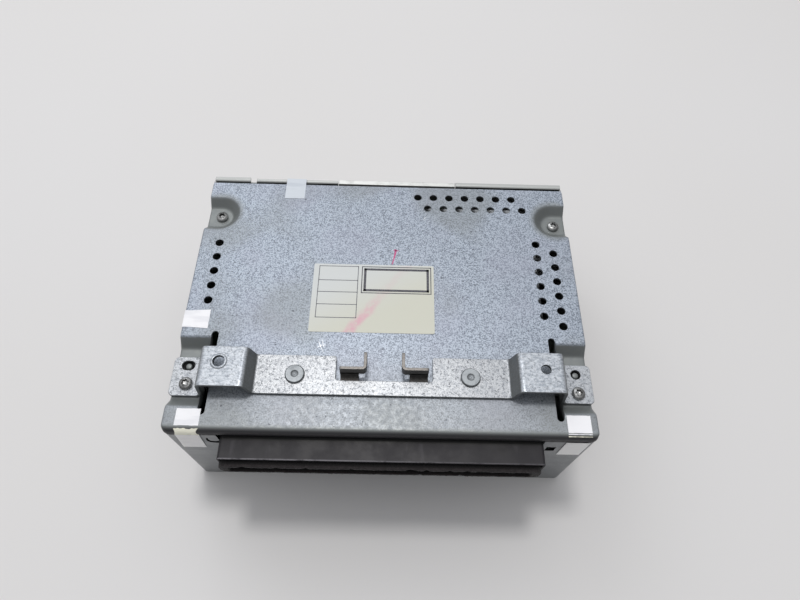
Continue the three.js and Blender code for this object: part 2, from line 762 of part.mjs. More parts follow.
function bottomCover() {
  const outline = roundedRectangle(-half, half, 0, backFace - fit.seat, body.cornerRadius);
  let cover = upright(outline, 0, body.sheet);
  const slope = (bottomScrew.padRadius - bottomScrew.padFloorRadius) / bottomScrew.padDepth;
  for (const { x, y } of bottomScrewSpots()) {
    const pad = (lift) => {
      const low = -fit.cutOverrun;
      const wide = bottomScrew.padRadius + slope * (fit.cutOverrun + lift);
      return post(x, y, low, bottomScrew.padDepth + lift, wide, bottomScrew.padFloorRadius);
    };
    const shell = pad(body.sheet).intersect(block(-half, half, 0, body.depth, 0, top));
    cover = cover.add(shell).subtract(pad(0));
    cover = cover.subtract(post(x, y, 0, top, screwHole, screwHole, facets.coarse));
  }
  const slots = [];
  for (let i = 0; i < bottomVent.count; i += 1) {
    const y = body.depth - bottomVent.fromBack - i * bottomVent.pitch;
    for (const side of sides) {
      const middle = side * (bottomVent.length / 2 + bottomVent.width);
      const shape = roundedRectangle(
        middle - bottomVent.length / 2,
        middle + bottomVent.length / 2,
        y - bottomVent.width / 2,
        y + bottomVent.width / 2,
        bottomVent.width / 2,
      );
      slots.push(upright(shape, -fit.cutOverrun, body.sheet + fit.cutOverrun));
    }
  }
  return cutBy(cover, slots);
}

// The rear wall, with its top edge folded back on both sides of the heat sink.
function backPanel() {
  const foot = body.sheet + fit.seat;
  const high = top - back.topDrop;
  const foldPiece = (x0, x1, reach) => {
    const corners = [point(backFace, foot), point(backFace, high), point(backFace + reach, high)];
    return across(sheetShape(bentPath(corners, back.foldRadius), back.sheet), x0, x1);
  };
  const edge = half - backFold.endInset;
  const shortStart = -edge + backFold.cornerLength + backFold.notch;
  const lower = high - back.foldRadius;
  const wall = block(-half, half, backFace, backFace + back.sheet, foot, lower);
  const folds = [
    foldPiece(-edge, -edge + backFold.cornerLength, back.foldReach),
    foldPiece(shortStart, sinkLeft - fit.running, back.shortFoldReach),
    foldPiece(sinkRight + fit.running, edge, back.foldReach),
  ];
  const y = [backFace - fit.cutOverrun, backFace + back.sheet + fit.cutOverrun];
  const cuts = [block(sinkLeft - fit.running, sinkRight + fit.running, ...y, sink.foot - fit.running, top)];
  for (const { left, width, height } of [mainSocket, networkSocket, ...aerialSockets]) {
    const heights = [boardTop + fit.seat - fit.running, boardTop + height + 2 * fit.running];
    cuts.push(block(left - fit.running, left + width + fit.running, ...y, ...heights));
  }
  return cutBy(joined([wall, ...folds]), cuts);
}

function heatSink() {
  const high = top - back.topDrop;
  const face = backFace + sink.baseDepth;
  const pieces = [block(sinkLeft, sinkRight, backFace, face, sink.foot, high)];
  const span = sinkRight - sinkLeft - sink.finThickness;
  for (let i = 0; i < sink.finCount; i += 1) {
    const x = sinkLeft + (span * i) / (sink.finCount - 1);
    const finTop = high - sink.finTopDrop;
    pieces.push(block(x, x + sink.finThickness, face - fit.seat, face + sink.finDepth, sink.foot, finTop));
  }
  return joined(pieces);
}

// The bracket's face from its middle to one end, seen from the front.
function bracketPath() {
  const tabTop = bracketTop - joggle.depth;
  const rise = bracket.padHeight;
  const right = [
    point(stripEnd, bracketTop),
    point(padStart, rise),
    point(padEnd, rise),
    point(tabStart, tabTop),
    point(tabEnd, tabTop),
  ];
  const left = right.map((spot) => point(-spot.x, spot.y)).reverse();
  return bentPath([...left, ...right], bracket.bendRadius);
}

// One hook: a foot folded up from the strip, and a wall that turns back at its inner end.
function bracketHook(side) {
  const rise = bracketTop + hook.notch;
  const footPath = bentPath(
    [
      point(bracket.waistFar - bracket.sheet, bracketTop),
      point(hook.near, bracketTop),
      point(hook.near, rise + hook.sheet),
    ],
    hook.bend,
  );
  const middle = bracket.waistMiddle;
  const ends = [middle + side * hook.footInner, middle + side * hook.outer];
  const foot = across(sheetShape(footPath, hook.sheet), Math.min(...ends), Math.max(...ends));
  const inner = middle + side * hook.inner;
  const outer = middle + side * hook.outer;
  const corners = [point(outer, hook.near), point(inner, hook.near), point(inner, hook.far)];
  const planPath = bentPath(corners, hook.bend);
  const wall = upright(sheetShape(planPath, side * hook.sheet), rise, hook.top);
  return foot.add(wall);
}

function mountingBracket() {
  const strip = lengthwise(sheetShape(bracketPath(), bracket.sheet), bracket.near, bracket.far);
  const low = -joggle.depth - fit.cutOverrun;
  const high = bracket.padHeight + fit.cutOverrun;
  const outline = roundedRectangle(-tabEnd, tabEnd, bracket.near, bracket.far, bracket.cornerRadius);
  const waistY = [bracket.waistFar, bracket.far + fit.cutOverrun];
  const waistX = [bracket.waistMiddle - bracket.waistHalf, bracket.waistMiddle + bracket.waistHalf];
  const waist = block(...waistX, ...waistY, low, high);
  let made = strip.intersect(upright(outline, low, high)).subtract(waist);
  made = joined([made, ...sides.map(bracketHook)]);
  const collar = leftPadHole.diameter / 2 + leftPadHole.collar;
  const collarX = leftPadHole.fromPadEnd - padEnd;
  const heights = [bracket.padHeight - bracket.sheet, bracket.padHeight + leftPadHole.collarHeight];
  made = made.add(post(collarX, leftPadHole.fromFront, ...heights, collar, collar - leftPadHole.collar / 2));
  const cuts = padHoles.map((hole) => post(hole.fromMiddle, hole.fromFront, 0, high, hole.diameter / 2));
  for (const side of sides) {
    cuts.push(post(side * rivetX, rivet.fromFront, low, high, rivet.holeDiameter / 2));
  }
  for (const spot of bracketScrewSpots) {
    cuts.push(post(spot.fromMiddle, spot.fromFront, low, high, screwHole, screwHole, facets.coarse));
  }
  cuts.push(post(half - roundHole.fromSide, roundHole.fromFront, low, high, roundHole.diameter / 2));
  const oval = roundedRectangle(
    ovalHole.fromSide - half - ovalHole.length / 2,
    ovalHole.fromSide - half + ovalHole.length / 2,
    ovalHole.fromFront - ovalHole.width / 2,
    ovalHole.fromFront + ovalHole.width / 2,
    ovalHole.width / 2,
  );
  cuts.push(upright(oval, low, high));
  return cutBy(made, cuts);
}

// A flat rivet through the strip and the cover, with its seat at height zero on the strip.
function bracketRivet() {
  const under = -(bracketTop + body.sheet + fit.seat);
  return turned([
    [0, under - rivet.tailHeight],
    [rivet.tailDiameter / 2, under - rivet.tailHeight],
    [rivet.tailDiameter / 2, under],
    [rivet.shankDiameter / 2, under],
    [rivet.shankDiameter / 2, fit.seat],
    [rivet.headDiameter / 2, fit.seat],
    [rivet.headDiameter / 2, rivet.headHeight / 2 + fit.seat],
    [rivet.headDiameter / 2 - rivet.headHeight / 2, rivet.headHeight + fit.seat],
    [rivet.dimpleDiameter / 2, rivet.headHeight + fit.seat],
    [0, rivet.headHeight + fit.seat - rivet.dimpleDepth],
  ], facets.fine);
}

// A screw whose head seats at height zero and whose shank hangs below it.
function panScrew() {
  const radius = screw.headDiameter / 2;
  const rise = screw.headHeight - screw.edgeHeight;
  const dome = [1, 2].map((step) => {
    const angle = (step * Math.PI) / 6;
    return [radius * Math.cos(angle), screw.edgeHeight + rise * Math.sin(angle)];
  });
  const whole = turned([
    [0, -screw.shankLength],
    [screw.shankDiameter / 2, -screw.shankLength],
    [screw.shankDiameter / 2, 0],
    [radius, 0],
    [radius, screw.edgeHeight],
    ...dome,
    [0, screw.headHeight],
  ]);
  const star = new THREE.Shape();
  const lobes = 12;
  for (let i = 0; i < lobes; i += 1) {
    const reach = (screw.recessDiameter / 2) * (i % 2 ? screw.recessWaistShare : 1);
    const angle = (i * 2 * Math.PI) / lobes;
    const spot = point(reach * Math.cos(angle), reach * Math.sin(angle));
    if (i) star.lineTo(spot.x, spot.y);
    else star.moveTo(spot.x, spot.y);
  }
  const floor = screw.headHeight - screw.recessDepth;
  return whole.subtract(upright(star, floor, screw.headHeight + fit.cutOverrun));
}

// The nose is a box open at the back, with a rim round its sunk front face and the disc slot through it.
function slotNose() {
  const [low, high] = [-nose.bottom, -nose.top];
  const outline = roundedRectangle(noseLeft, noseRight, low, high, nose.cornerRadius);
  const faceBack = nose.front + nose.faceRecess + nose.facePlate;
  const cavity = block(
    noseLeft + nose.wall + nose.facePlate,
    noseRight - nose.wall - nose.facePlate,
    faceBack,
    nose.back + fit.cutOverrun,
    low + nose.wall,
    high - nose.wall,
  );
  const sunk = block(
    noseLeft + nose.rim,
    noseRight - nose.rim,
    nose.front - fit.cutOverrun,
    nose.front + nose.faceRecess,
    low + nose.rim,
    high - nose.rim,
  );
  const slotCut = block(
    -slotHalf,
    slotHalf,
    nose.front - fit.cutOverrun,
    faceBack + fit.cutOverrun,
    -slotBottom,
    -slotTop,
  );
  const pinHole = bar(
    noseLeft + nose.wall,
    noseRight - nose.wall,
    faceBack + shutter.axisBack,
    -shutter.axisTop,
    shutter.pinDiameter / 2 + fit.running,
    facets.coarse,
  );
  return cutBy(lengthwise(outline, nose.front, nose.back), [cavity, sunk, slotCut, pinHole]);
}

function foamRing() {
  const ends = [noseLeft + foam.endInset, noseRight - foam.endInset];
  const ring = roundedRectangle(...ends, -foam.bottom, -foam.top, foam.cornerRadius);
  const y0 = nose.front - foam.proud;
  const y1 = nose.front + nose.faceRecess - fit.seat;
  const heights = [foam.openingInset - slotBottom, -foam.openingInset - slotTop];
  const opening = block(-slotHalf, slotHalf, y0 - fit.cutOverrun, y1 + fit.cutOverrun, ...heights);
  return lengthwise(ring, y0, y1).subtract(opening);
}

// The dust shutter hangs from its pins; its own origin is the pin line.
function slotShutter() {
  const side = nose.wall + nose.facePlate + fit.running;
  const [left, right] = [noseLeft + side, noseRight - side];
  const flap = block(left, right, -shutter.sheet / 2, shutter.sheet / 2, -shutterReach, 0);
  const barrel = bar(left, right, 0, 0, shutter.barrelDiameter / 2, facets.coarse);
  const reach = shutter.pinLength;
  const pins = bar(left - reach, right + reach, 0, 0, shutter.pinDiameter / 2, facets.coarse);
  return joined([flap, barrel, pins]);
}

function flatLabel({ left, right, near, far }) {
  const outline = roundedRectangle(left, right, near, far, paper.cornerRadius);
  return upright(outline, top + paper.lift, top + paper.lift + paper.thickness);
}

// A seal that follows the cover over its front lip and down the front wall.
function frontSeal(middle, reach, drop) {
  const outside = paper.lift + paper.thickness;
  const corners = [
    point(-lip.proud - outside, top - drop),
    point(-lip.proud - outside, top + outside),
    point(reach, top + outside),
  ];
  const shape = sheetShape(bentPath(corners, lip.bendRadius + outside), paper.thickness);
  return across(shape, middle - sealWidth / 2, middle + sealWidth / 2);
}

// A seal that follows the cover over its left edge and down the side wall.
function sideSeal() {
  const outside = paper.lift + paper.thickness;
  const corners = [
    point(-half - outside, top - seals.leftDrop),
    point(-half - outside, top + outside),
    point(-half + seals.leftReach, top + outside),
  ];
  return lengthwise(sheetShape(corners, paper.thickness), seals.leftNear, seals.leftFar);
}

// A seal across the gap between the cover and the back panel's folded edge.
function backSeal() {
  const low = top + paper.lift;
  const spread = [seals.backMiddle - sealWidth / 2, seals.backMiddle + sealWidth / 2];
  const y = [body.depth - seals.backReach, backFace + back.shortFoldReach];
  return block(...spread, ...y, low, low + paper.thickness);
}

function circuitBoard() {
  const low = ledge.height + fit.seat;
  return block(-boardHalf, boardHalf, board.near, boardFar, low, low + board.thickness);
}

// A socket housing on the board's back edge, with a well and its pins.
function plugHousing({ left, width, fromBack, height, columns, rows, pinSize, pinLength }) {
  const right = left + width;
  const low = boardTop + fit.seat;
  const high = boardTop + height;
  const end = backFace + back.sheet + plugWell.proud;
  const floor = end - plugWell.wellDepth;
  const well = block(
    left + plugWell.wall,
    right - plugWell.wall,
    floor,
    end + fit.cutOverrun,
    low + plugWell.wall,
    high - plugWell.wall,
  );
  let housing = block(left, right, floor - plugWell.backWall, end, low, high).subtract(well);
  housing = housing.add(block(left, right, body.depth - fromBack, floor, low, low + plugWell.wall));
  const columnPitch = (width - 2 * plugWell.wall) / columns;
  const rowPitch = (high - low - 2 * plugWell.wall) / rows;
  const reach = pinSize / 2;
  for (let column = 0; column < columns; column += 1) {
    for (let row = 0; row < rows; row += 1) {
      const x = left + plugWell.wall + columnPitch / 2 + columnPitch * column;
      const z = low + plugWell.wall + rowPitch / 2 + rowPitch * row;
      const y = [floor - fit.seat, floor + pinLength];
      housing = housing.add(block(x - reach, x + reach, ...y, z - reach, z + reach));
    }
  }
  return housing;
}

function toothedWheel(teeth, boreDiameter) {
  const pitchRadius = (toothed.module * teeth) / 2;
  const root = pitchRadius - toothed.module * toothForm.rootShare;
  const tip = pitchRadius + toothed.module * toothForm.tipShare;
  const outline = [];
  for (let i = 0; i < teeth; i += 1) {
    for (const [share, radius] of [
      [-toothForm.rootHalfShare, root],
      [-toothForm.tipHalfShare, tip],
      [toothForm.tipHalfShare, tip],
      [toothForm.rootHalfShare, root],
    ]) {
      const angle = ((i + share) * 2 * Math.PI) / teeth;
      outline.push(point(radius * Math.cos(angle), radius * Math.sin(angle)));
    }
  }
  const wheel = across(new THREE.Shape(outline), 0, toothed.width);
  const ends = [-fit.cutOverrun, toothed.width + fit.cutOverrun];
  return wheel.subtract(bar(...ends, 0, 0, boreDiameter / 2, facets.coarse));
}

// How far a wheel turns so that its gap meets a neighbour's tooth in the given direction.
function meshTurn(teeth, direction, otherTeeth, otherTurn) {
  const otherPhase = ((direction - otherTurn) * otherTeeth) / (2 * Math.PI);
  return direction + Math.PI + ((otherPhase + 0.5) * 2 * Math.PI) / teeth;
}

// The drive's fixed frame: a tray with side walls, feet on the case ledges and a cradle for the motor.
function driveFrame() {
  const inner = frameHalf - frame.sheet;
  const floor = block(-frameHalf, frameHalf, frameFront, frameBack, -frame.floorDrop, frameTop);
  const pieces = [floor];
  const heights = [-frame.floorDrop, frame.wallRise];
  for (const side of sides) {
    const ends = [side * inner, side * frameHalf];
    pieces.push(block(Math.min(...ends), Math.max(...ends), frameFront, frameBack, ...heights));
    for (const spot of [driveLedge.near, body.depth - driveLedge.fromBack]) {
      const foot = [side * inner, side * (half - body.sheet - fit.running)];
      const y = [spot - discMiddle - driveLedge.length / 2, spot - discMiddle + driveLedge.length / 2];
      pieces.push(block(Math.min(...foot), Math.max(...foot), ...y, -frame.floorDrop, frameTop));
    }
  }
  const cradleTop = pinionZ - loader.diameter / 2 - fit.seat;
  const cradle = [pinionY - loader.cradleDepth / 2, pinionY + loader.cradleDepth / 2];
  pieces.push(block(loaderFrom, loaderTo, ...cradle, -frame.floorDrop, cradleTop));
  const stub = toothed.boreDiameter / 2 - fit.running;
  pieces.push(bar(toothedFrom - fit.running, frameHalf, idlerY, rollerHeight, stub, facets.coarse));
  const z = [-frame.floorDrop - fit.cutOverrun, frameTop + fit.cutOverrun];
  const window = frame.motorWindow;
  const leadX = [ribbonX - ribbonSocket.width / 2, ribbonX + ribbonSocket.width / 2];
  const reach = frameHalf + fit.cutOverrun;
  const bore = roller.shaftDiameter / 2 + fit.running;
  const cuts = [
    block(-window, window, -window, window, ...z),
    block(frame.rim - frameHalf, 2 * frame.rim + deckLeft, deckNear + frame.rim, deckFar - frame.rim, ...z),
    block(...leadX, deckFar - frame.rim / 2, frameBack - frame.rim / 2, ...z),
    bar(-reach, reach, rollerY, rollerHeight, bore, facets.coarse),
  ];
  return cutBy(joined(pieces), cuts);
}

function driveLid() {
  const low = frame.wallRise + fit.seat;
  const high = low + frame.sheet;
  const plate = block(-frameHalf, frameHalf, frameFront, frameBack, low, high);
  const through = [low - fit.cutOverrun, high + fit.cutOverrun];
  const windowY = [frameFront + lid.edgeInset, frameBack - lid.edgeInset];
  let made = plate.subtract(block(-windowHalf, windowHalf, ...windowY, ...through));
  for (const side of sides) {
    const ends = [side * lid.earAt, side * (lid.earAt + frame.sheet)];
    const y = [pivotY - lid.earHalf, pivotY + lid.earHalf];
    made = made.add(block(Math.min(...ends), Math.max(...ends), ...y, low - lid.earDrop, high));
  }
  const bore = clampArm.pinDiameter / 2 + fit.running;
  return made.subtract(bar(-windowHalf, windowHalf, pivotY, clampArm.pivotZ, bore, facets.coarse));
}

// The floating deck that carries the turntable motor, the rails and the sled.
function driveDeck() {
  const [low, high] = [-deck.drop - deck.sheet, -deck.drop];
  let made = block(deckLeft, deckRight, deckNear, deckFar, low, high);
  const under = low - fit.cutOverrun;
  const over = high + fit.cutOverrun;
  const cuts = [
    block(deckCutLeft, deckRight + fit.cutOverrun, deckNear - fit.cutOverrun, deckCutFar, under, over),
    block(
      sled.lensAt - sled.halfLength - fit.cutOverrun,
      railEnd - rail.postLength,
      -sled.halfWidth,
      sled.halfWidth,
      under,
      over,
    ),
    block(
      feed.motorFrom - feed.windowMargin,
      feed.motorTo + feed.windowMargin,
      feed.y - feed.motorDiameter / 2 - feed.windowMargin,
      feed.y + feed.motorDiameter / 2 + feed.windowMargin,
      under,
      over,
    ),
    post(0, 0, under, over, spindle.deckHole / 2),
  ];
  made = cutBy(made, cuts);
  const posts = [];
  const holes = [];
  const postTop = -rail.drop + rail.postRise;
  for (const y of [-rail.y, rail.y, feed.y]) {
    const starts = y === feed.y ? [railEnd - rail.postLength] : [railStart, railEnd - rail.postLength];
    const width = [y - rail.postWidth / 2, y + rail.postWidth / 2];
    for (const x of starts) posts.push(block(x, x + rail.postLength, ...width, low, postTop));
    const radius = (y === feed.y ? feed.diameter : rail.diameter) / 2 + fit.running;
    const ends = [railStart - fit.cutOverrun, railEnd + fit.cutOverrun];
    holes.push(bar(...ends, y, -rail.drop, radius, facets.coarse));
  }
  return cutBy(joined([made, ...posts]), holes);
}

function rubberDamper() {
  const radius = damper.diameter / 2;
  const low = frameTop + fit.seat;
  const high = -deck.drop - deck.sheet - fit.seat;
  const middle = (low + high) / 2;
  return turned([
    [0, low],
    [radius, low],
    [radius, middle - damper.groove],
    [radius * damper.waistShare, middle],
    [radius, middle + damper.groove],
    [radius, high],
    [0, high],
  ]);
}

// The loading roller: a rubber sleeve that is thinner in the middle, on a steel shaft.
function loadingRoller() {
  const shaft = bar(-frameHalf, frameHalf, 0, 0, roller.shaftDiameter / 2, facets.coarse);
  const reach = frameHalf - roller.sideInset;
  const sleeve = turned([
    [0, -reach],
    [roller.rubberDiameter / 2, -reach],
    [roller.waistDiameter / 2, 0],
    [roller.rubberDiameter / 2, reach],
    [0, reach],
  ]);
  return shaft.add(sleeve.rotate([0, 90, 0]));
}

function discGuide() {
  const inner = frameHalf - frame.sheet - fit.seat;
  const near = frameFront + guide.inset;
  const far = near + guide.depth;
  const outline = new THREE.Shape([
    point(near, guide.bottom + guide.funnel),
    point(near + guide.funnel, guide.bottom),
    point(far, guide.bottom),
    point(far, guide.top),
    point(near, guide.top),
  ]);
  return across(outline, -inner, inner);
}

function spindleMotor() {
  const high = -deck.drop - deck.sheet - fit.seat;
  const can = spindle.motorDiameter / 2;
  const shaft = spindle.shaftDiameter / 2;
  return post(0, 0, high - spindle.motorHeight, high, can, can, facets.fine).add(
    post(0, 0, high - fit.seat, spindle.shaftTop, shaft, shaft, facets.coarse),
  );
}

function turntableDisc() {
  const wheel = turned([
    [0, turntable.bottom],
    [turntable.hubDiameter / 2, turntable.bottom],
    [turntable.hubDiameter / 2, turntable.rimTop - turntable.rimThickness],
    [turntable.rimDiameter / 2, turntable.rimTop - turntable.rimThickness],
    [turntable.rimDiameter / 2, turntable.rimTop],
    [turntable.coneDiameter / 2, turntable.rimTop],
    [turntable.coneTopDiameter / 2, turntable.coneTop],
    [0, turntable.coneTop],
  ], facets.fine);
  const bore = spindle.shaftDiameter / 2 + fit.running;
  const z = [turntable.bottom - fit.cutOverrun, spindle.shaftTop + fit.running];
  return wheel.subtract(post(0, 0, ...z, bore, bore, facets.coarse));
}

// The pickup sled. Its own origin is under the lens, on the line of the rails.
function laserSled() {
  const [low, high] = [sled.bottom + rail.drop, sled.top + rail.drop];
  const ear = rail.y + sled.earWidth / 2;
  const nut = feed.y + sled.nutWidth / 2;
  const pieces = [
    block(-sled.halfLength, sled.halfLength, -ear, ear, low, high),
    block(-sled.halfLength / 2, sled.halfLength / 2, rail.y, nut, low, high),
    post(0, 0, high - fit.seat, lens.holderTop + rail.drop, lens.holderDiameter / 2),
  ];
  const lensHole = lens.diameter / 2 + fit.seat;
  const cuts = [post(0, 0, high, lens.top + rail.drop, lensHole, lensHole)];
  for (const [y, diameter] of [
    [-rail.y, rail.diameter],
    [rail.y, rail.diameter],
    [feed.y, feed.diameter],
  ]) {
    const reach = sled.halfLength + fit.cutOverrun;
    cuts.push(bar(-reach, reach, y, 0, diameter / 2 + fit.running, facets.coarse));
  }
  return cutBy(joined(pieces), cuts);
}

function objectiveLens() {
  const radius = lens.diameter / 2;
  const low = sled.top + rail.drop + fit.seat;
  const high = lens.top + rail.drop;
  return turned([
    [0, low],
    [radius, low],
    [radius, (low + high) / 2],
    [radius * Math.cos(Math.PI / 4), (low + 3 * high) / 4],
    [0, high],
  ]);
}

function clampArmPlate() {
  const y = pivotY;
  const shape = new THREE.Shape([
    point(-clampArm.halfWidth, clampArm.near),
    point(clampArm.halfWidth, clampArm.near),
    point(clampArm.pivotHalf, y - lid.earHalf),
    point(clampArm.pivotHalf, y + clampArm.pinDiameter / 2),
    point(-clampArm.pivotHalf, y + clampArm.pinDiameter / 2),
    point(-clampArm.pivotHalf, y - lid.earHalf),
  ]);
  const low = clampArm.bottom - clampArm.pivotZ;
  const plate = upright(shape, low, low + clampArm.sheet).translate([0, -y, 0]);
  const reach = lid.earAt + frame.sheet + fit.running;
  const pins = bar(-reach, reach, 0, 0, clampArm.pinDiameter / 2, facets.coarse);
  const hole = clampDisc.hubDiameter / 2 + fit.running;
  return plate.add(pins).subtract(post(0, -y, low - fit.cutOverrun, -low + fit.cutOverrun, hole));
}

// The free disc that presses on the disc's hub; it turns in the arm's hole.
function clampWheel() {
  const armTop = clampArm.bottom + clampArm.sheet;
  const low = clampDisc.bottom;
  return turned([
    [0, low + clampDisc.recessDepth],
    [clampDisc.recessDiameter / 2, low + clampDisc.recessDepth],
    [clampDisc.recessDiameter / 2, low],
    [clampDisc.diameter / 2, low],
    [clampDisc.diameter / 2, low + clampDisc.thickness],
    [clampDisc.hubDiameter / 2, low + clampDisc.thickness],
    [clampDisc.hubDiameter / 2, armTop + fit.running],
    [clampDisc.capDiameter / 2, armTop + fit.running],
    [clampDisc.capDiameter / 2, armTop + fit.running + clampDisc.capThickness],
    [0, armTop + fit.running + clampDisc.capThickness],
  ], facets.fine);
}

// The flat lead from the deck's back edge down to its socket on the board.
function driveRibbon() {
  const socketTop = boardTop + ribbonSocket.height - discHeight;
  const start = -deck.drop - deck.sheet - fit.running;
  const end = discMiddle - ribbonSocket.fromBack;
  const corners = [
    point(deckFar - ribbon.slack, start),
    point(deckFar + ribbon.slack, start),
    point(end, socketTop + ribbon.slack),
    point(end, socketTop + fit.running),
  ];
  const shape = sheetShape(bentPath(corners, ribbon.bendRadius), ribbon.thickness);
  const middle = ribbonX;
  return across(shape, middle - ribbon.width / 2, middle + ribbon.width / 2);
}

function buildCase(group) {
  place(group, "top_cover", topCover(), "case_sheet");
  place(group, "case_walls", caseWalls(), "case_sheet");
  place(group, "bottom_cover", bottomCover(), "case_sheet");
  place(group, "back_panel", backPanel(), "back_sheet");
  place(group, "heat_sink", heatSink(), "cast_aluminium");
  for (const spot of coverScrewSpots) {
    const seat = top - dimple.depth + fit.seat;
    place(group, spot.name, panScrew(), "bright_steel", [spot.fromMiddle, spot.fromFront, seat]);
  }
  for (const spot of bottomScrewSpots()) {
    const seat = bottomScrew.padDepth - fit.seat;
    const mesh = place(group, spot.name, panScrew(), "bright_steel", [spot.x, spot.y, seat]);
    mesh.rotation.x = Math.PI;
  }
  place(group, "info_label", flatLabel(infoLabel), "label_paper");
  place(group, "seal_back", backSeal(), "seal_paper");
  place(group, "seal_left", sideSeal(), "seal_paper");
  const leftSeal = frontSeal(seals.frontLeftInset - half, seals.frontLeftReach, seals.frontLeftDrop);
  place(group, "seal_front_left", leftSeal, "seal_paper");
  const rightSeal = frontSeal(half - seals.frontRightInset, seals.frontRightReach, seals.frontRightDrop);
  place(group, "seal_front_right", rightSeal, "seal_paper");
}

function buildBracket(group) {
  place(group, "mounting_bracket", mountingBracket(), "zinc_bracket");
  for (const side of sides) {
    const name = side < 0 ? "bracket_rivet_left" : "bracket_rivet_right";
    place(group, name, bracketRivet(), "bright_steel", [side * rivetX, rivet.fromFront, bracketTop]);
  }
  for (const spot of bracketScrewSpots) {
    const seat = bracketTop - joggle.depth + fit.seat;
    place(group, spot.name, panScrew(), "bright_steel", [spot.fromMiddle, spot.fromFront, seat]);
  }
}

function buildNose(group) {
  place(group, "slot_nose", slotNose(), "black_plastic");
  place(group, "slot_foam", foamRing(), "black_foam");
  const pinLine = nose.front + nose.faceRecess + nose.facePlate + shutter.axisBack;
  place(group, "slot_shutter", slotShutter(), "black_plastic", [0, pinLine, -shutter.axisTop]);
}

function buildBoard(group) {
  place(group, "main_board", circuitBoard(), "green_board");
  const low = boardTop + fit.seat;
  const tunerLeft = tuner.fromBoardEnd - boardHalf;
  const tunerFar = body.depth - tuner.fromBack;
  const tunerY = [tunerFar - tuner.length, tunerFar];
  const tin = block(tunerLeft, tunerLeft + tuner.width, ...tunerY, low, low + tuner.height);
  place(group, "tuner_can", tin, "tinned_steel");
  const shieldCan = block(shield.left, shield.right, shield.near, shield.far, low, low + shield.height);
  place(group, "processor_shield", shieldCan, "tinned_steel");
  const { width, thickness, height } = amplifier;
  const left = (sinkLeft + sinkRight - width) / 2;
  const right = left + width;
  const chipBack = backFace - fit.seat;
  const chip = block(left, right, chipBack - thickness, chipBack, low, low + height);
  const chipLegs = block(left, right, boardFar - thickness, chipBack, low, low + board.thickness);
  place(group, "amplifier_chip", chip.add(chipLegs), "black_plastic");
  for (const can of capacitors) {
    const rise = headroom - fit.seat - can.underDrive;
    const made = post(0, 0, 0, rise, can.diameter / 2, can.diameter / 2, facets.fine);
    place(group, can.name, made, "blue_sleeve", [can.fromMiddle, body.depth - can.fromBack, low]);
  }
  place(group, "main_connector", plugHousing(mainSocket), "black_plastic");
  place(group, "network_connector", plugHousing(networkSocket), "grey_plastic");
  for (const socket of aerialSockets) place(group, socket.name, plugHousing(socket), "white_plastic");
  const reach = ribbonSocket.width / 2;
  const socketDepth = [-ribbonSocket.depth / 2, ribbonSocket.depth / 2];
  const socket = block(-reach, reach, ...socketDepth, 0, ribbonSocket.height - fit.seat);
  const socketY = body.depth - ribbonSocket.fromBack;
  place(group, "ribbon_socket", socket, "white_plastic", [ribbonX, socketY, low]);
}

function buildDrive(group) {
  place(group, "drive_frame", driveFrame(), "tinned_steel");
  place(group, "drive_lid", driveLid(), "tinned_steel");
  place(group, "drive_deck", driveDeck(), "tinned_steel");
  for (const { name, x, y } of damperSpots) place(group, name, rubberDamper(), "black_rubber", [x, y, 0]);
  place(group, "loading_roller", loadingRoller(), "black_rubber", [0, rollerY, rollerHeight]);

  const wheelBore = roller.shaftDiameter + 2 * fit.seat;
  const wheelAt = (name, wheel, finish, y, z) => place(group, name, wheel, finish, [toothedFrom, y, z]);
  const rollerTooth = toothedWheel(toothed.rollerTeeth, wheelBore);
  const rollerWheel = wheelAt("roller_wheel", rollerTooth, "white_plastic", rollerY, rollerHeight);
  rollerWheel.rotation.x = meshTurn(toothed.rollerTeeth, Math.PI, toothed.idlerTeeth, 0);
  const idlerTooth = toothedWheel(toothed.idlerTeeth, toothed.boreDiameter);
  wheelAt("idler_wheel", idlerTooth, "white_plastic", idlerY, rollerHeight);
  const pinionTooth = toothedWheel(toothed.pinionTeeth, loader.shaftDiameter + 2 * fit.running);
  const pinion = wheelAt("motor_pinion", pinionTooth, "bright_steel", pinionY, pinionZ);
  pinion.rotation.x = meshTurn(toothed.pinionTeeth, -pinionDrop, toothed.idlerTeeth, 0);
  const can = bar(loaderFrom, loaderTo, 0, 0, loader.diameter / 2, facets.fine);
  const shaft = bar(loaderFrom, toothedFrom + toothed.width, 0, 0, loader.shaftDiameter / 2, facets.coarse);
  place(group, "loading_motor", can.add(shaft), "bright_steel", [0, pinionY, pinionZ]);

  place(group, "disc_guide", discGuide(), "black_plastic");
  place(group, "spindle_motor", spindleMotor(), "bright_steel");
  place(group, "turntable", turntableDisc(), "black_plastic");
  place(group, "laser_sled", laserSled(), "cast_aluminium", [sled.lensAt, 0, -rail.drop]);
  place(group, "objective_lens", objectiveLens(), "lens_glass", [sled.lensAt, 0, -rail.drop]);
  for (const side of sides) {
    const name = side < 0 ? "guide_rail_front" : "guide_rail_back";
    const rod = bar(railStart, railEnd, 0, 0, rail.diameter / 2, facets.coarse);
    place(group, name, rod, "bright_steel", [0, side * rail.y, -rail.drop]);
  }
  const feedCan = bar(feed.motorFrom, feed.motorTo, 0, 0, feed.motorDiameter / 2);
  place(group, "feed_motor", feedCan, "bright_steel", [0, feed.y, -rail.drop]);
  const feedRod = bar(feed.motorTo + fit.running, railEnd, 0, 0, feed.diameter / 2, facets.coarse);
  place(group, "feed_screw", feedRod, "bright_steel", [0, feed.y, -rail.drop]);
  place(group, "clamp_arm", clampArmPlate(), "tinned_steel", [0, pivotY, clampArm.pivotZ]);
  place(group, "clamp_wheel", clampWheel(), "black_plastic");
  place(group, "drive_ribbon", driveRibbon(), "ribbon_film");
}

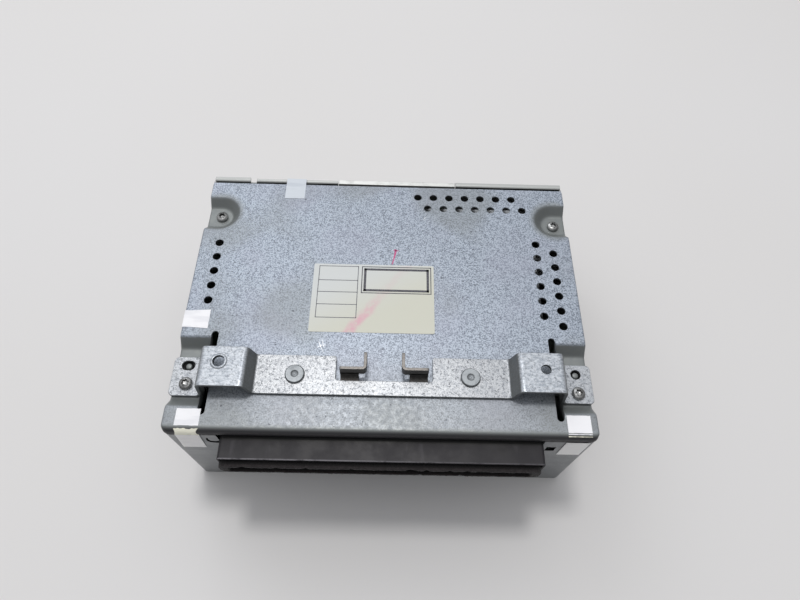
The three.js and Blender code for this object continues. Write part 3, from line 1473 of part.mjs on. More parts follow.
const radio = new THREE.Group();
radio.name = "car_radio";
const assembly = new THREE.Group();
assembly.position.set(0, -body.depth / 2, 0);
radio.add(assembly);

const onTop = new THREE.Group();
onTop.position.set(0, 0, top);
const drive = new THREE.Group();
drive.position.set(0, discMiddle, discHeight);
assembly.add(onTop, drive);

buildCase(assembly);
buildBracket(onTop);
buildNose(onTop);
buildBoard(assembly);
buildDrive(drive);

export default radio;
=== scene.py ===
"""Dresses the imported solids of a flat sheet-metal car radio with a disc slot.

The solids stay where they are. Presswork, bent strips, fasteners, foam, paper and marks are worked out here
as surfaces of two parameters, in millimetres, and put into Blender in metres.
"""

import logging
import math
from collections.abc import Callable, Sequence
from dataclasses import dataclass, field, replace
from enum import Enum
from functools import partial, reduce

import bmesh
import bpy
import numpy as np
from mathutils import Matrix, Vector
from mathutils.geometry import delaunay_2d_cdt


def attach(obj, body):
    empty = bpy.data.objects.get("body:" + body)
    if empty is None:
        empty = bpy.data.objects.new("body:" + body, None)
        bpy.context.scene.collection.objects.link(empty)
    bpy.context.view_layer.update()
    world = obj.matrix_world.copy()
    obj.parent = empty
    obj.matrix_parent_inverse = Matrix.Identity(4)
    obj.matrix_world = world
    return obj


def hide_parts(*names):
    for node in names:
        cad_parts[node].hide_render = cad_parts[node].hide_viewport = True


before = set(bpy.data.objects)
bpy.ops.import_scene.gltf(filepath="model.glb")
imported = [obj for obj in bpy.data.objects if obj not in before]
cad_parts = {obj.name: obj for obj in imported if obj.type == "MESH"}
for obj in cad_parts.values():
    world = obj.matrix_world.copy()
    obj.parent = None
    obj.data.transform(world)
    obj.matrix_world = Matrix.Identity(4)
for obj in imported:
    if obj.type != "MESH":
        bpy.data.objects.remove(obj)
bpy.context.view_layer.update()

LOG = logging.getLogger("car_radio")
MM = 0.001
Colour = tuple[float, float, float, float]
Spot = tuple[float, float]
Band = tuple[float, float]
Socket = bpy.types.NodeSocket
RANGE_INPUTS = ("From Min", "From Max", "To Min", "To Max")

# The scale of a pattern that isn't stretched, and the roughness of most mouldings.
EVEN = (1.0, 1.0, 1.0)
MATT = 0.52

# The case's flat faces: its top, its front and back, and its sides at minus and plus HALF.
TOP = 67.0
FRONT = -66.0
BACK = 65.5
HALF = 90.5

# Places seen from above, the left one first, that the cover shares with what sits on it.
STUDS: Sequence[Spot] = ((-85.0, -35.6), (84.8, -36.1))
DIMPLE_SCREWS: Sequence[Spot] = ((-83.7, 46.3), (84.4, 45.5))
BRACKET_SCREWS: Sequence[Spot] = ((-84.5, -44.2), (84.7, -45.1))
RIVETS: Sequence[Spot] = ((-37.6, -40.65), (37.6, -40.65))


def tone(red: float, green: float, blue: float) -> Colour:
    """Returns the linear colour for screen values c of 0 to 255: ((c / 255 + 0.055) / 1.055) ** 2.4."""
    linear = [((channel / 255 + 0.055) / 1.055) ** 2.4 for channel in (red, green, blue)]
    return linear[0], linear[1], linear[2], 1.0


# Shader nodes and finishes


class Bench:
    """Lays down the shader nodes of one finish, with its patterns measured in millimetres."""

    def __init__(self, name: str) -> None:
        """Starts a material with a surface shader and the object's own coordinates.

        Args:
            name: name of the new material.
        """
        self.material = bpy.data.materials.new(name)
        self.material.use_nodes = True
        self.tree = self.material.node_tree
        self.tree.nodes.clear()
        self.shader = self.add("ShaderNodeBsdfPrincipled")
        self.feed(self.add("ShaderNodeOutputMaterial").inputs["Surface"], self.shader.outputs[0])
        self.place = self.scaled((1 / MM, 1 / MM, 1 / MM), self.add("ShaderNodeTexCoord").outputs["Object"])
        split = self.add("ShaderNodeSeparateXYZ")
        self.feed(split.inputs[0], self.place)
        self.x, self.y, self.z = split.outputs

    def add(self, kind: str, **settings: object) -> bpy.types.Node:
        """Adds a node and sets its named settings.

        Args:
            kind: the node's type.
            settings: its own properties.

        Returns:
            The node.
        """
        node = self.tree.nodes.new(kind)
        for key, value in settings.items():
            setattr(node, key, value)
        return node

    def feed(self, target: Socket, value: object) -> None:
        """Links a socket to the target, or sets the target's own value.

        Args:
            target: an input socket.
            value: a socket, number or colour.
        """
        if isinstance(value, Socket):
            self.tree.links.new(value, target)
        else:
            target.default_value = value

    def set(self, **values: object) -> None:
        """Sets or links the surface shader's sockets, with underscores for the spaces in their names."""
        for key, value in values.items():
            self.feed(self.shader.inputs[key.replace("_", " ")], value)

    def scaled(self, scale: Sequence[float], vector: Socket | None = None) -> Socket:
        """Returns the coordinates multiplied by a scale of its own along each axis.

        Args:
            scale: factors along X, Y and Z.
            vector: coordinates, or none for the object's own.

        Returns:
            The scaled coordinates.
        """
        node = self.add("ShaderNodeMapping")
        self.feed(node.inputs["Vector"], vector or self.place)
        node.inputs["Scale"].default_value = scale
        return node.outputs[0]

    def noise(
        self, size: float, detail: float = 2.0, rough: float = 0.5, vector: Socket | None = None
    ) -> Socket:
        """Returns soft noise from 0 to 1.

        Args:
            size: width of its blotches, in millimetres.
            detail: how many finer layers lie on it.
            rough: strength of the finer layers.
            vector: coordinates, or none for the object's own.

        Returns:
            The noise value's socket.
        """
        node = self.add("ShaderNodeTexNoise")
        self.feed(node.inputs["Vector"], vector or self.place)
        node.inputs["Scale"].default_value = 1 / size
        node.inputs["Detail"].default_value = detail
        node.inputs["Roughness"].default_value = rough
        return node.outputs[0]

    def cells(self, size: float, vector: Socket | None = None) -> tuple[Socket, Socket]:
        """Returns the distance to scattered points a size apart, and a colour of its own for each.

        Args:
            size: distance between points.
            vector: coordinates, or none for the object's own.

        Returns:
            The distance's and the colour's sockets.
        """
        node = self.add("ShaderNodeTexVoronoi")
        self.feed(node.inputs["Vector"], vector or self.place)
        node.inputs["Scale"].default_value = 1 / size
        return node.outputs["Distance"], node.outputs["Color"]

    def sum(self, operation: str, first: object, second: object = 0.0) -> Socket:
        """Returns the result of one sum on two values.

        Args:
            operation: the sum's type.
            first: its first value.
            second: its second value.

        Returns:
            The result's socket.
        """
        node = self.add("ShaderNodeMath", operation=operation)
        self.feed(node.inputs[0], first)
        self.feed(node.inputs[1], second)
        return node.outputs[0]

    def times(self, *values: object) -> Socket:
        """Returns the product of the values."""
        return reduce(partial(self.sum, "MULTIPLY"), values)

    def plus(self, first: object, second: object) -> Socket:
        """Returns the first value with the second added."""
        return self.sum("ADD", first, second)

    def minus(self, first: object, second: object) -> Socket:
        """Returns the first value less the second."""
        return self.sum("SUBTRACT", first, second)

    def most(self, first: object, second: object) -> Socket:
        """Returns the larger of two values."""
        return self.sum("MAXIMUM", first, second)

    def squared(self, value: Socket, middle: float) -> Socket:
        """Returns the square of a value's distance from a middle."""
        return self.sum("POWER", self.minus(value, middle), 2.0)

    def away(self, x: float, y: float, across: Socket | None = None) -> Socket:
        """Returns the distance from an upright line, with another X coordinate if one is given."""
        return self.sum("SQRT", self.plus(self.squared(across or self.x, x), self.squared(self.y, y)))

    def ramp(self, value: Socket, low: float, high: float, start: float = 0.0, end: float = 1.0) -> Socket:
        """Returns start below low, end above high, and a smooth step between them.

        Args:
            value: what is read.
            low: where the step starts.
            high: where it ends.
            start: result below it.
            end: result above it.

        Returns:
            The result's socket.
        """
        node = self.add("ShaderNodeMapRange", interpolation_type="SMOOTHSTEP")
        for key, number in zip(RANGE_INPUTS, (low, high, start, end)):
            node.inputs[key].default_value = number
        self.feed(node.inputs["Value"], value)
        return node.outputs[0]

    def fall(self, value: Socket, low: float, high: float) -> Socket:
        """Returns 1 below low, 0 above high, and a smooth step between them."""
        return self.ramp(value, low, high, 1.0, 0.0)

    def upward(self) -> Socket:
        """Returns how far the surface faces up: the Z of its unit normal.

        Returns:
            The result's socket.
        """
        split = self.add("ShaderNodeSeparateXYZ")
        self.feed(split.inputs[0], self.add("ShaderNodeNewGeometry").outputs["Normal"])
        return split.outputs[2]

    def red(self, colour: Socket) -> Socket:
        """Returns a colour's first channel.

        Args:
            colour: the colour's socket.

        Returns:
            The channel's socket.
        """
        split = self.add("ShaderNodeSeparateColor")
        self.feed(split.inputs[0], colour)
        return split.outputs[0]

    def colour_so_far(self) -> Socket:
        """Returns the socket that feeds the surface shader's colour."""
        return self.shader.inputs["Base Color"].links[0].from_socket

    def blend(self, share: object, first: object, second: object) -> Socket:
        """Returns a mix of two colours by a share from 0 to 1.

        Args:
            share: share of the second.
            first: a colour.
            second: a colour.

        Returns:
            The mixed colour's socket.
        """
        node = self.add("ShaderNodeMix", data_type="RGBA")
        self.feed(node.inputs[0], share)
        self.feed(node.inputs[6], first)
        self.feed(node.inputs[7], second)
        return node.outputs[2]

    def specks(self, size: float, radius: float, share: float) -> Socket:
        """Returns a mask of small round specks.

        Args:
            size: mean distance between their centres, in millimetres.
            radius: radius of a speck, in millimetres.
            share: share of the centres that carry one.

        Returns:
            A socket that is 1 in a speck and 0 outside it.
        """
        wander = self.add("ShaderNodeVectorMath", operation="ADD")
        stir = self.add("ShaderNodeTexNoise")
        self.feed(stir.inputs["Vector"], self.place)
        stir.inputs["Scale"].default_value = 1.4
        self.feed(wander.inputs[0], self.place)
        self.feed(wander.inputs[1], stir.outputs["Color"])
        distance, colour = self.cells(size, wander.outputs[0])
        chosen = self.fall(self.red(colour), share - 0.04, share + 0.04)
        return self.times(chosen, self.fall(distance, 0.5 * radius / size, 1.3 * radius / size))

    def relief(self, height: Socket, depth: float, strength: float = 1.0) -> None:
        """Presses a height pattern of that depth in millimetres into the surface.

        Args:
            height: the pattern.
            depth: its depth.
            strength: how strongly it shows.
        """
        node = self.add("ShaderNodeBump")
        node.inputs["Strength"].default_value = strength
        node.inputs["Distance"].default_value = depth * MM
        self.feed(node.inputs["Height"], height)
        self.set(Normal=node.outputs[0])


@dataclass(frozen=True)
class Finish:
    """A named surface finish that makes its material once."""

    name: str

    def dress(self, bench: Bench) -> None:
        """Lays the finish's nodes on a bench."""
        raise NotImplementedError

    def material(self) -> bpy.types.Material:
        """Returns the material, made at its first use.

        Returns:
            The material.
        """
        found = bpy.data.materials.get(self.name)
        if found:
            return found
        bench = Bench(self.name)
        self.dress(bench)
        return bench.material


@dataclass(frozen=True)
class GalvanisedSheet(Finish):
    """Bluish zinc-coated steel: fine spangle and dark pits where flat, smoother where pressed or bent, with
    painted shade on its front lip and round its studs.
    """

    pale: Colour = tone(170, 180, 193)
    grey: Colour = tone(104, 112, 124)
    lavender: Colour = tone(150, 152, 168)
    front: Colour = tone(136, 138, 138)
    pressed: Colour = tone(126, 130, 128)
    # Colour of the painted shadow ring round each locating stud.
    shade: Colour = tone(26, 27, 29)
    # Painted shade for the roll of the front lip, which faces forward and away from the light.
    lip: Colour = tone(58, 57, 60)
    pit: Colour = tone(52, 56, 66)
    metallic: float = 0.4
    flat_level: Band = (TOP - 0.9, TOP - 0.05)
    front_area: Band = (-60.0, -20.0)
    lip_shade_roll: Band = (FRONT + 0.6, FRONT + 2.6)
    lip_bend: Band = (FRONT + 1.8, FRONT + 4.4)
    dimple: Spot = (84.0, 46.2)
    dimple_halo: Band = (9.5, 14.0)
    stud_shadow_inner: Band = (1.05, 1.55)
    stud_shadow_outer: Band = (3.4, 3.8)
    stud_shadow_ahead: float = 0.25

    def dress(self, bench: Bench) -> None:
        """Mixes two sizes of spangle, broad cloudy patches, pits, the worked areas' plain grey, and painted
        shade.

        Args:
            bench: where its nodes go.
        """
        fine = bench.noise(0.56, 1.0, 0.7)
        coarse = bench.noise(2.3, 3.0, 0.65)
        grain = bench.plus(bench.times(fine, 0.84), bench.times(coarse, 0.16))
        bright = bench.blend(bench.ramp(grain, 0.35, 0.6), self.grey, self.pale)
        bright = bench.blend(bench.ramp(bench.noise(30.0), 0.42, 0.75, 0.0, 0.38), bright, self.lavender)
        bright = bench.blend(bench.ramp(bench.y, *self.front_area, 0.55, 0.0), bright, self.front)
        plain = bench.blend(bench.ramp(coarse, 0.3, 0.7, 0.1, 0.25), self.pressed, self.grey)
        # Painted shade: the front lip's roll is darkened nearly to the lip tone.
        plain = bench.blend(bench.times(bench.fall(bench.y, *self.lip_shade_roll), 0.95), plain, self.lip)
        flat = self.flat_mask(bench)
        dull = bench.ramp(bench.noise(46.0, 1.0), 0.45, 0.62, 0.0, 0.45)
        colour = bench.blend(bench.most(bench.minus(1.0, flat), dull), bright, plain)
        pits = bench.most(bench.specks(1.9, 0.3, 0.36), bench.specks(5.2, 0.5, 0.3))
        colour = bench.blend(bench.times(pits, bench.ramp(flat, 0.0, 1.0, 0.1, 0.7)), colour, self.pit)
        # Painted shadow: a dark ring round each locating stud.
        bench.set(Base_Color=bench.blend(self.stud_shadow_mask(bench), colour, self.shade), Metallic=self.metallic)
        bench.set(Roughness=bench.ramp(coarse, 0.25, 0.75, 0.36, 0.52))
        bench.relief(grain, 0.012, 0.6)

    def stud_shadow_mask(self, bench: Bench) -> Socket:
        """Returns 1 in a narrow ring of painted shadow round each locating stud, set a little forward, and 0
        elsewhere.

        Args:
            bench: where its nodes go.

        Returns:
            The mask's socket.
        """
        stud_shadows = []
        for x, y in STUDS:
            away = bench.away(x, y - self.stud_shadow_ahead)
            outer = bench.fall(away, *self.stud_shadow_outer)
            stud_shadows.append(bench.times(bench.ramp(away, *self.stud_shadow_inner), outer))
        return bench.most(*stud_shadows)

    def flat_mask(self, bench: Bench) -> Socket:
        """Returns 1 on the flat top, less near the dimples, and 0 on lips, walls and recesses.

        Args:
            bench: where its nodes go.

        Returns:
            The mask's socket.
        """
        away = bench.away(*self.dimple, bench.sum("ABSOLUTE", bench.x))
        halo = bench.ramp(away, *self.dimple_halo, 0.25, 1.0)
        return bench.times(bench.ramp(bench.z, *self.flat_level), bench.ramp(bench.y, *self.lip_bend), halo)


@dataclass(frozen=True)
class WallSheet(Finish):
    """The same steel on the walls and the underside, where it is smooth mid-grey with faint cloudy marks and
    painted shade on the front wall's cut edges and top.
    """

    base: Colour = tone(144, 146, 148)
    shade: Colour = tone(128, 131, 134)
    light: Colour = tone(162, 165, 168)
    metallic: float = 0.45
    # Painted shade on the cut edges of the front wall's openings and along its top under the lip.
    edge_shade_tone: Colour = tone(18, 18, 19)
    pit: Colour = tone(96, 100, 104)
    sheet_front: Band = (-65.99, -65.9)
    sheet_back: Band = (-64.6, -64.2)
    openings: Band = (78.0, 79.0)
    top_level: Band = (61.9, 62.9)
    top_reach: Band = (-65.5, -64.5)

    def dress(self, bench: Bench) -> None:
        """Mixes a cloudy tone with a faint spangle and sparse pits, and paints shade on the cut edges and
        under the lip.

        Args:
            bench: where its nodes go.
        """
        cloud = bench.noise(18.0, 3.0, 0.6)
        fine = bench.noise(0.9, 2.0, 0.7)
        rolled = bench.noise(3.0, 2.0, 0.6, bench.scaled((0.08, 0.08, 1.6)))
        colour = bench.blend(bench.ramp(cloud, 0.35, 0.7), self.base, self.shade)
        colour = bench.blend(bench.ramp(fine, 0.5, 0.72, 0.0, 0.4), colour, self.light)
        colour = bench.blend(bench.times(bench.specks(4.5, 0.36, 0.3), 0.5), colour, self.pit)
        bench.set(Base_Color=bench.blend(self.edge_shade_mask(bench), colour, self.edge_shade_tone), Metallic=self.metallic)
        bench.set(Roughness=bench.ramp(rolled, 0.3, 0.7, 0.4, 0.47))
        bench.relief(fine, 0.01, 0.5)

    def edge_shade_mask(self, bench: Bench) -> Socket:
        """Returns 1 where shade is painted, on the cut edges of the front wall's openings and along the front
        of its top under the lip, and 0 elsewhere.

        Args:
            bench: where its nodes go.

        Returns:
            The mask's socket.
        """
        within = bench.times(bench.ramp(bench.y, *self.sheet_front), bench.fall(bench.y, *self.sheet_back))
        front = bench.times(within, bench.fall(bench.sum("ABSOLUTE", bench.x), *self.openings))
        top = bench.times(bench.ramp(bench.z, *self.top_level), bench.fall(bench.y, *self.top_reach))
        return bench.most(front, top)


@dataclass(frozen=True)
class BackSheet(WallSheet):
    """The back panel's steel, with a painted highlight along its top fold and painted shadow where it goes
    down behind the cover.
    """

    # Painted highlight on the top of the fold.
    fold: Colour = tone(176, 179, 178)
    # Painted shadow between the fold and the cover: black, and dark grey towards the left end.
    gap: Colour = tone(16, 16, 17)
    corner: Colour = tone(84, 87, 86)
    fold_level: Band = (TOP - 1.6, TOP - 1.0)
    gap_level: Band = (TOP - 6.0, TOP - 5.0)
    gap_reach: Band = (67.45, 67.8)
    corner_end: Band = (-42.0, -30.0)

    def dress(self, bench: Bench) -> None:
        """Lays the fold's painted highlight and the painted shadow behind the cover over the plain steel.

        Args:
            bench: where its nodes go.
        """
        super().dress(bench)
        # Painted highlight: the top of the fold is lightened.
        upper = bench.ramp(bench.z, *self.fold_level, 0.0, 0.9)
        colour = bench.blend(upper, bench.colour_so_far(), self.fold)
        # Painted shadow where the panel goes down behind the cover.
        dark = bench.blend(bench.ramp(bench.x, *self.corner_end), self.corner, self.gap)
        inner = bench.times(bench.fall(bench.y, *self.gap_reach), bench.ramp(bench.z, *self.gap_level))
        bench.set(Base_Color=bench.blend(inner, colour, dark))


@dataclass(frozen=True)
class ZincPlating(Finish):
    """Whitish zinc plating with bright flakes, dark cracks and specks, bluish streaks on raised pads, and
    painted shade on steep faces.
    """

    white: Colour = tone(202, 205, 208)
    grey: Colour = tone(136, 141, 148)
    blue: Colour = tone(144, 152, 162)
    drawn: Colour = tone(192, 198, 205)
    # Painted shade for faces that turn away from straight up.
    steep: Colour = tone(100, 103, 103)
    speck: Colour = tone(70, 74, 80)
    metallic: float = 0.4
    raised: Band = (72.0, 74.0)
    lowered: Band = (TOP - 1.2, TOP + 0.6)
    greyer: Band = (0.0, 52.0)
    sloping: Band = (0.55, 0.97)

    def dress(self, bench: Bench) -> None:
        """Mixes flakes, cracks and specks, with streaks on the raised pads and painted shade, a streaked dark
        grey, on steep parts.

        Args:
            bench: where its nodes go.
        """
        fine = bench.noise(0.5, 2.5, 0.8)
        cloud = bench.noise(6.0, 2.0, 0.6)
        grain = bench.plus(bench.times(fine, 0.75), bench.times(bench.noise(1.5), 0.25))
        strip = bench.blend(bench.ramp(grain, 0.36, 0.6), self.grey, self.white)
        strip = bench.blend(bench.ramp(bench.x, *self.greyer, 0.0, 0.3), strip, self.grey)
        streak = bench.noise(0.8, 3.0, 0.75, bench.scaled((0.5, 1.0, 1.0)))
        pad = bench.blend(bench.ramp(streak, 0.36, 0.6), self.blue, self.drawn)
        pad = bench.blend(bench.times(bench.specks(1.6, 0.28, 0.45), 0.75), pad, self.white)
        worked = bench.most(bench.ramp(bench.z, *self.raised), bench.ramp(bench.z, *self.lowered, 0.3, 0.0))
        colour = bench.blend(bench.times(worked, 0.88), strip, pad)
        vein = bench.sum("ABSOLUTE", bench.minus(bench.noise(1.9, 2.0, 0.6), 0.5))
        crack = bench.times(bench.fall(vein, 0.014, 0.045), bench.ramp(bench.noise(1.3), 0.46, 0.54))
        colour = bench.blend(bench.times(crack, bench.ramp(worked, 0.0, 1.0, 0.8, 0.5)), colour, self.speck)
        colour = bench.blend(bench.ramp(cloud, 0.5, 0.8, 0.0, 0.35), colour, self.grey)
        pits = bench.most(bench.specks(2.4, 0.33, 0.4), bench.specks(1.4, 0.2, 0.16))
        colour = bench.blend(bench.times(pits, 0.5), colour, self.speck)
        # Painted shade: the less a face points up, the more it takes this streaked dark grey.
        worn = bench.blend(bench.ramp(streak, 0.35, 0.7, 0.0, 0.35), self.steep, self.grey)
        bench.set(Base_Color=bench.blend(bench.fall(bench.upward(), *self.sloping), colour, worn))
        bench.set(Metallic=self.metallic, Roughness=bench.ramp(fine, 0.3, 0.7, 0.3, 0.46))
        bench.relief(grain, 0.02, 0.7)


@dataclass(frozen=True)
class ShadedHookSheet(Finish):
    """The folded hooks: brownish dark faces painted as shade, and paler upper edges painted as highlight
    where they face up.
    """

    # Painted shade on the hooks' faces, and a painted highlight on their upward-facing tops.
    face: Colour = tone(66, 64, 62)
    face_light: Colour = tone(112, 111, 110)
    edge: Colour = tone(128, 125, 122)
    edge_dark: Colour = tone(92, 88, 85)
    facing_up: Band = (0.6, 0.9)
    edge_level: Band = (72.0, 74.0)

    def dress(self, bench: Bench) -> None:
        """Paints a highlight on what faces up near the top, and streaks the faces along their height.

        Args:
            bench: where its nodes go.
        """
        streak = bench.noise(0.8, 3.0, 0.7, bench.scaled((1.0, 1.0, 0.25)))
        face = bench.blend(bench.ramp(streak, 0.4, 0.75, 0.0, 0.5), self.face, self.face_light)
        worn = bench.ramp(bench.noise(0.9, 3.0, 0.7), 0.45, 0.7, 0.0, 0.6)
        edge = bench.blend(worn, self.edge, self.edge_dark)
        # Painted highlight where the hook faces up near its top; painted shade on the rest.
        upper = bench.ramp(bench.z, *self.edge_level)
        upper = bench.times(bench.ramp(bench.upward(), *self.facing_up), upper)
        bench.set(Base_Color=bench.blend(upper, face, edge), Metallic=0.5)
        bench.set(Roughness=bench.ramp(streak, 0.3, 0.7, 0.36, 0.52))
        bench.relief(streak, 0.02, 0.6)


@dataclass(frozen=True)
class PlainMetal(Finish):
    """A bare or tinned metal with brushing lines and a light tarnish, darker where a piece is shaded."""

    base: Colour = tone(178, 180, 183)
    tarnish: Colour = tone(128, 130, 132)
    grain: tuple[float, float, float] = EVEN
    size: float = 1.2
    metallic: float = 0.85
    rough: float = 0.34
    depth: float = 0.01
    bright: Colour = tone(220, 222, 224)
    shaded: Colour = tone(34, 34, 36)

    def dress(self, bench: Bench) -> None:
        """Mixes a tarnish by cloudy noise and varies the gloss along the grain.

        Args:
            bench: where its nodes go.
        """
        line = bench.noise(self.size, 3.0, 0.65, bench.scaled(self.grain))
        cloud = bench.noise(5.0, 3.0, 0.6)
        colour = bench.blend(bench.ramp(cloud, 0.42, 0.72, 0.0, 0.7), self.base, self.tarnish)
        colour = bench.blend(bench.ramp(line, 0.55, 0.8, 0.0, 0.35), colour, self.bright)
        shade = bench.add("ShaderNodeAttribute", attribute_name="shade").outputs["Fac"]
        bench.set(Base_Color=bench.blend(shade, colour, self.shaded), Metallic=self.metallic)
        bench.set(Roughness=bench.ramp(line, 0.25, 0.75, self.rough - 0.08, self.rough + 0.1))
        bench.relief(line, self.depth, 0.6)


@dataclass(frozen=True)
class MouldedPlastic(Finish):
    """Moulded plastic with a fine matt grain, dust and a few pale scuffs."""

    base: Colour = tone(62, 60, 65)
    dust: Colour = tone(96, 95, 99)
    scuff: Colour = tone(120, 119, 122)
    rough: float = MATT
    scuffs: float = 0.35

    def dress(self, bench: Bench) -> None:
        """Mixes dust clouds and scuffs that run across the piece into a fine grain.

        Args:
            bench: where its nodes go.
        """
        cloud = bench.noise(9.0, 3.0, 0.6)
        rub = bench.noise(7.0, 2.0, 0.5, bench.scaled((1.5, 0.28, 0.28)))
        colour = bench.blend(bench.ramp(cloud, 0.46, 0.8, 0.0, 0.4), self.base, self.dust)
        colour = bench.blend(bench.ramp(rub, 0.63, 0.8, 0.0, self.scuffs), colour, self.scuff)
        bench.set(Base_Color=colour, Roughness=bench.ramp(cloud, 0.3, 0.7, self.rough, self.rough + 0.14))
        bench.relief(bench.noise(0.35, 2.0, 0.6), 0.02, 0.5)


@dataclass(frozen=True)
class NosePlastic(MouldedPlastic):
    """The slot nose's charcoal plastic, with a painted highlight along its top front edge and painted shadow
    under the lip.
    """

    # Painted highlight along the rounded top front edge.
    rim_highlight: Colour = tone(120, 118, 124)
    # A darker patch on the right of the nose's top.
    dark_patch_tone: Colour = tone(30, 28, 30)
    # Painted shadow that the lip casts on the nose's top.
    lip_shadow_tone: Colour = tone(8, 8, 9)
    edge_front: Band = (-75.15, -74.75)
    edge_level: Band = (60.9, 61.3)
    fading: Band = (-30.0, 30.0)
    dark_patch: Spot = (50.5, -69.5)
    dark_patch_reach: Band = (1.0, 14.0)
    under_lip: Band = (-67.9, -67.1)

    def dress(self, bench: Bench) -> None:
        """Adds a broken painted highlight along the top front edge, which fades to the right, a darker patch,
        and painted shadow under the lip.

        Args:
            bench: where its nodes go.
        """
        super().dress(bench)
        # Painted highlight along the top front edge, broken and fading to the right.
        edge = bench.times(bench.fall(bench.y, *self.edge_front), bench.ramp(bench.z, *self.edge_level))
        broken = bench.ramp(bench.noise(5.0, 3.0, 0.7), 0.3, 0.55, 0.25, 1.0)
        line = bench.times(edge, broken, bench.ramp(bench.x, *self.fading, 0.95, 0.4))
        far, deep = bench.squared(bench.x, self.dark_patch[0]), bench.squared(bench.y, self.dark_patch[1])
        dark_patch = bench.ramp(bench.plus(far, bench.times(deep, 2.0)), *self.dark_patch_reach, 0.5, 0.0)
        colour = bench.blend(dark_patch, bench.blend(line, bench.colour_so_far(), self.rim_highlight), self.dark_patch_tone)
        # Painted shadow under the lip.
        bench.set(Base_Color=bench.blend(bench.ramp(bench.y, *self.under_lip), colour, self.lip_shadow_tone))


@dataclass(frozen=True)
class OldFoam(Finish):
    """Open-cell foam that crumbles: brown-black, full of small pores, with a painted highlight on its front
    crest and painted shade behind its front face.
    """

    base: Colour = tone(25, 22, 23)
    # Painted highlight on the front crest, broken by the clumps.
    crest: Colour = tone(50, 46, 48)
    brown: Colour = tone(40, 32, 31)
    # Painted shade on the foam's top and back, behind its front face.
    side: Colour = tone(12, 10, 12)
    crest_front: Band = (-77.2, -76.3)
    crest_level: Band = (57.6, 58.3)
    side_from: Band = (-77.3, -76.4)

    def dress(self, bench: Bench) -> None:
        """Darkens the pores, paints shade behind the front face and a highlight on the front crest.

        Args:
            bench: where its nodes go.
        """
        pore, _ = bench.cells(0.45)
        clump = bench.noise(1.6, 4.0, 0.75)
        colour = bench.blend(bench.ramp(clump, 0.4, 0.72, 0.0, 0.75), self.base, self.brown)
        # Painted shade: everything behind the front face is nearly black.
        colour = bench.blend(bench.ramp(bench.y, *self.side_from), colour, self.side)
        # Painted highlight on the top front edge, where it is lit from above.
        crest = bench.times(bench.fall(bench.y, *self.crest_front), bench.ramp(bench.z, *self.crest_level))
        crest_light = bench.times(crest, bench.ramp(clump, 0.36, 0.6, 0.35, 1.0))
        colour = bench.blend(bench.times(crest_light, 0.8), colour, self.crest)
        bench.set(Base_Color=colour, Roughness=0.95, Sheen_Weight=0.1, Sheen_Roughness=0.5)
        bench.relief(bench.plus(bench.ramp(pore, 0.0, 0.5), clump), 0.22, 0.9)


@dataclass(frozen=True)
class DullRubber(Finish):
    """Matt black rubber with a ground surface."""

    base: Colour = tone(36, 36, 37)
    bloom: Colour = tone(74, 73, 72)

    def dress(self, bench: Bench) -> None:
        """Mixes grey bloom into the black and roughens it.

        Args:
            bench: where its nodes go.
        """
        bloom = bench.noise(2.0, 3.0, 0.6)
        bench.set(Base_Color=bench.blend(bench.ramp(bloom, 0.45, 0.8, 0.0, 0.35), self.base, self.bloom))
        bench.set(Roughness=bench.ramp(bloom, 0.3, 0.7, 0.66, 0.88))
        bench.relief(bench.noise(0.3), 0.03, 0.6)


@dataclass(frozen=True)
class SealPaper(Finish):
    """White self-adhesive paper with faint fibres, creases and a glued sheen."""

    base: Colour = tone(243, 244, 248)
    shade: Colour = tone(222, 224, 230)

    def dress(self, bench: Bench) -> None:
        """Mixes fibres and faint creases across the strip.

        Args:
            bench: where its nodes go.
        """
        fibre = bench.noise(0.8, 4.0, 0.7)
        crease = bench.noise(4.0, 2.0, 0.5, bench.scaled((0.2, 1.0, 1.0)))
        colour = bench.blend(bench.ramp(crease, 0.52, 0.66, 0.0, 0.6), self.base, self.shade)
        bench.set(Base_Color=colour, Roughness=bench.ramp(fibre, 0.3, 0.7, 0.42, 0.6))
        bench.relief(bench.plus(fibre, crease), 0.03, 0.5)


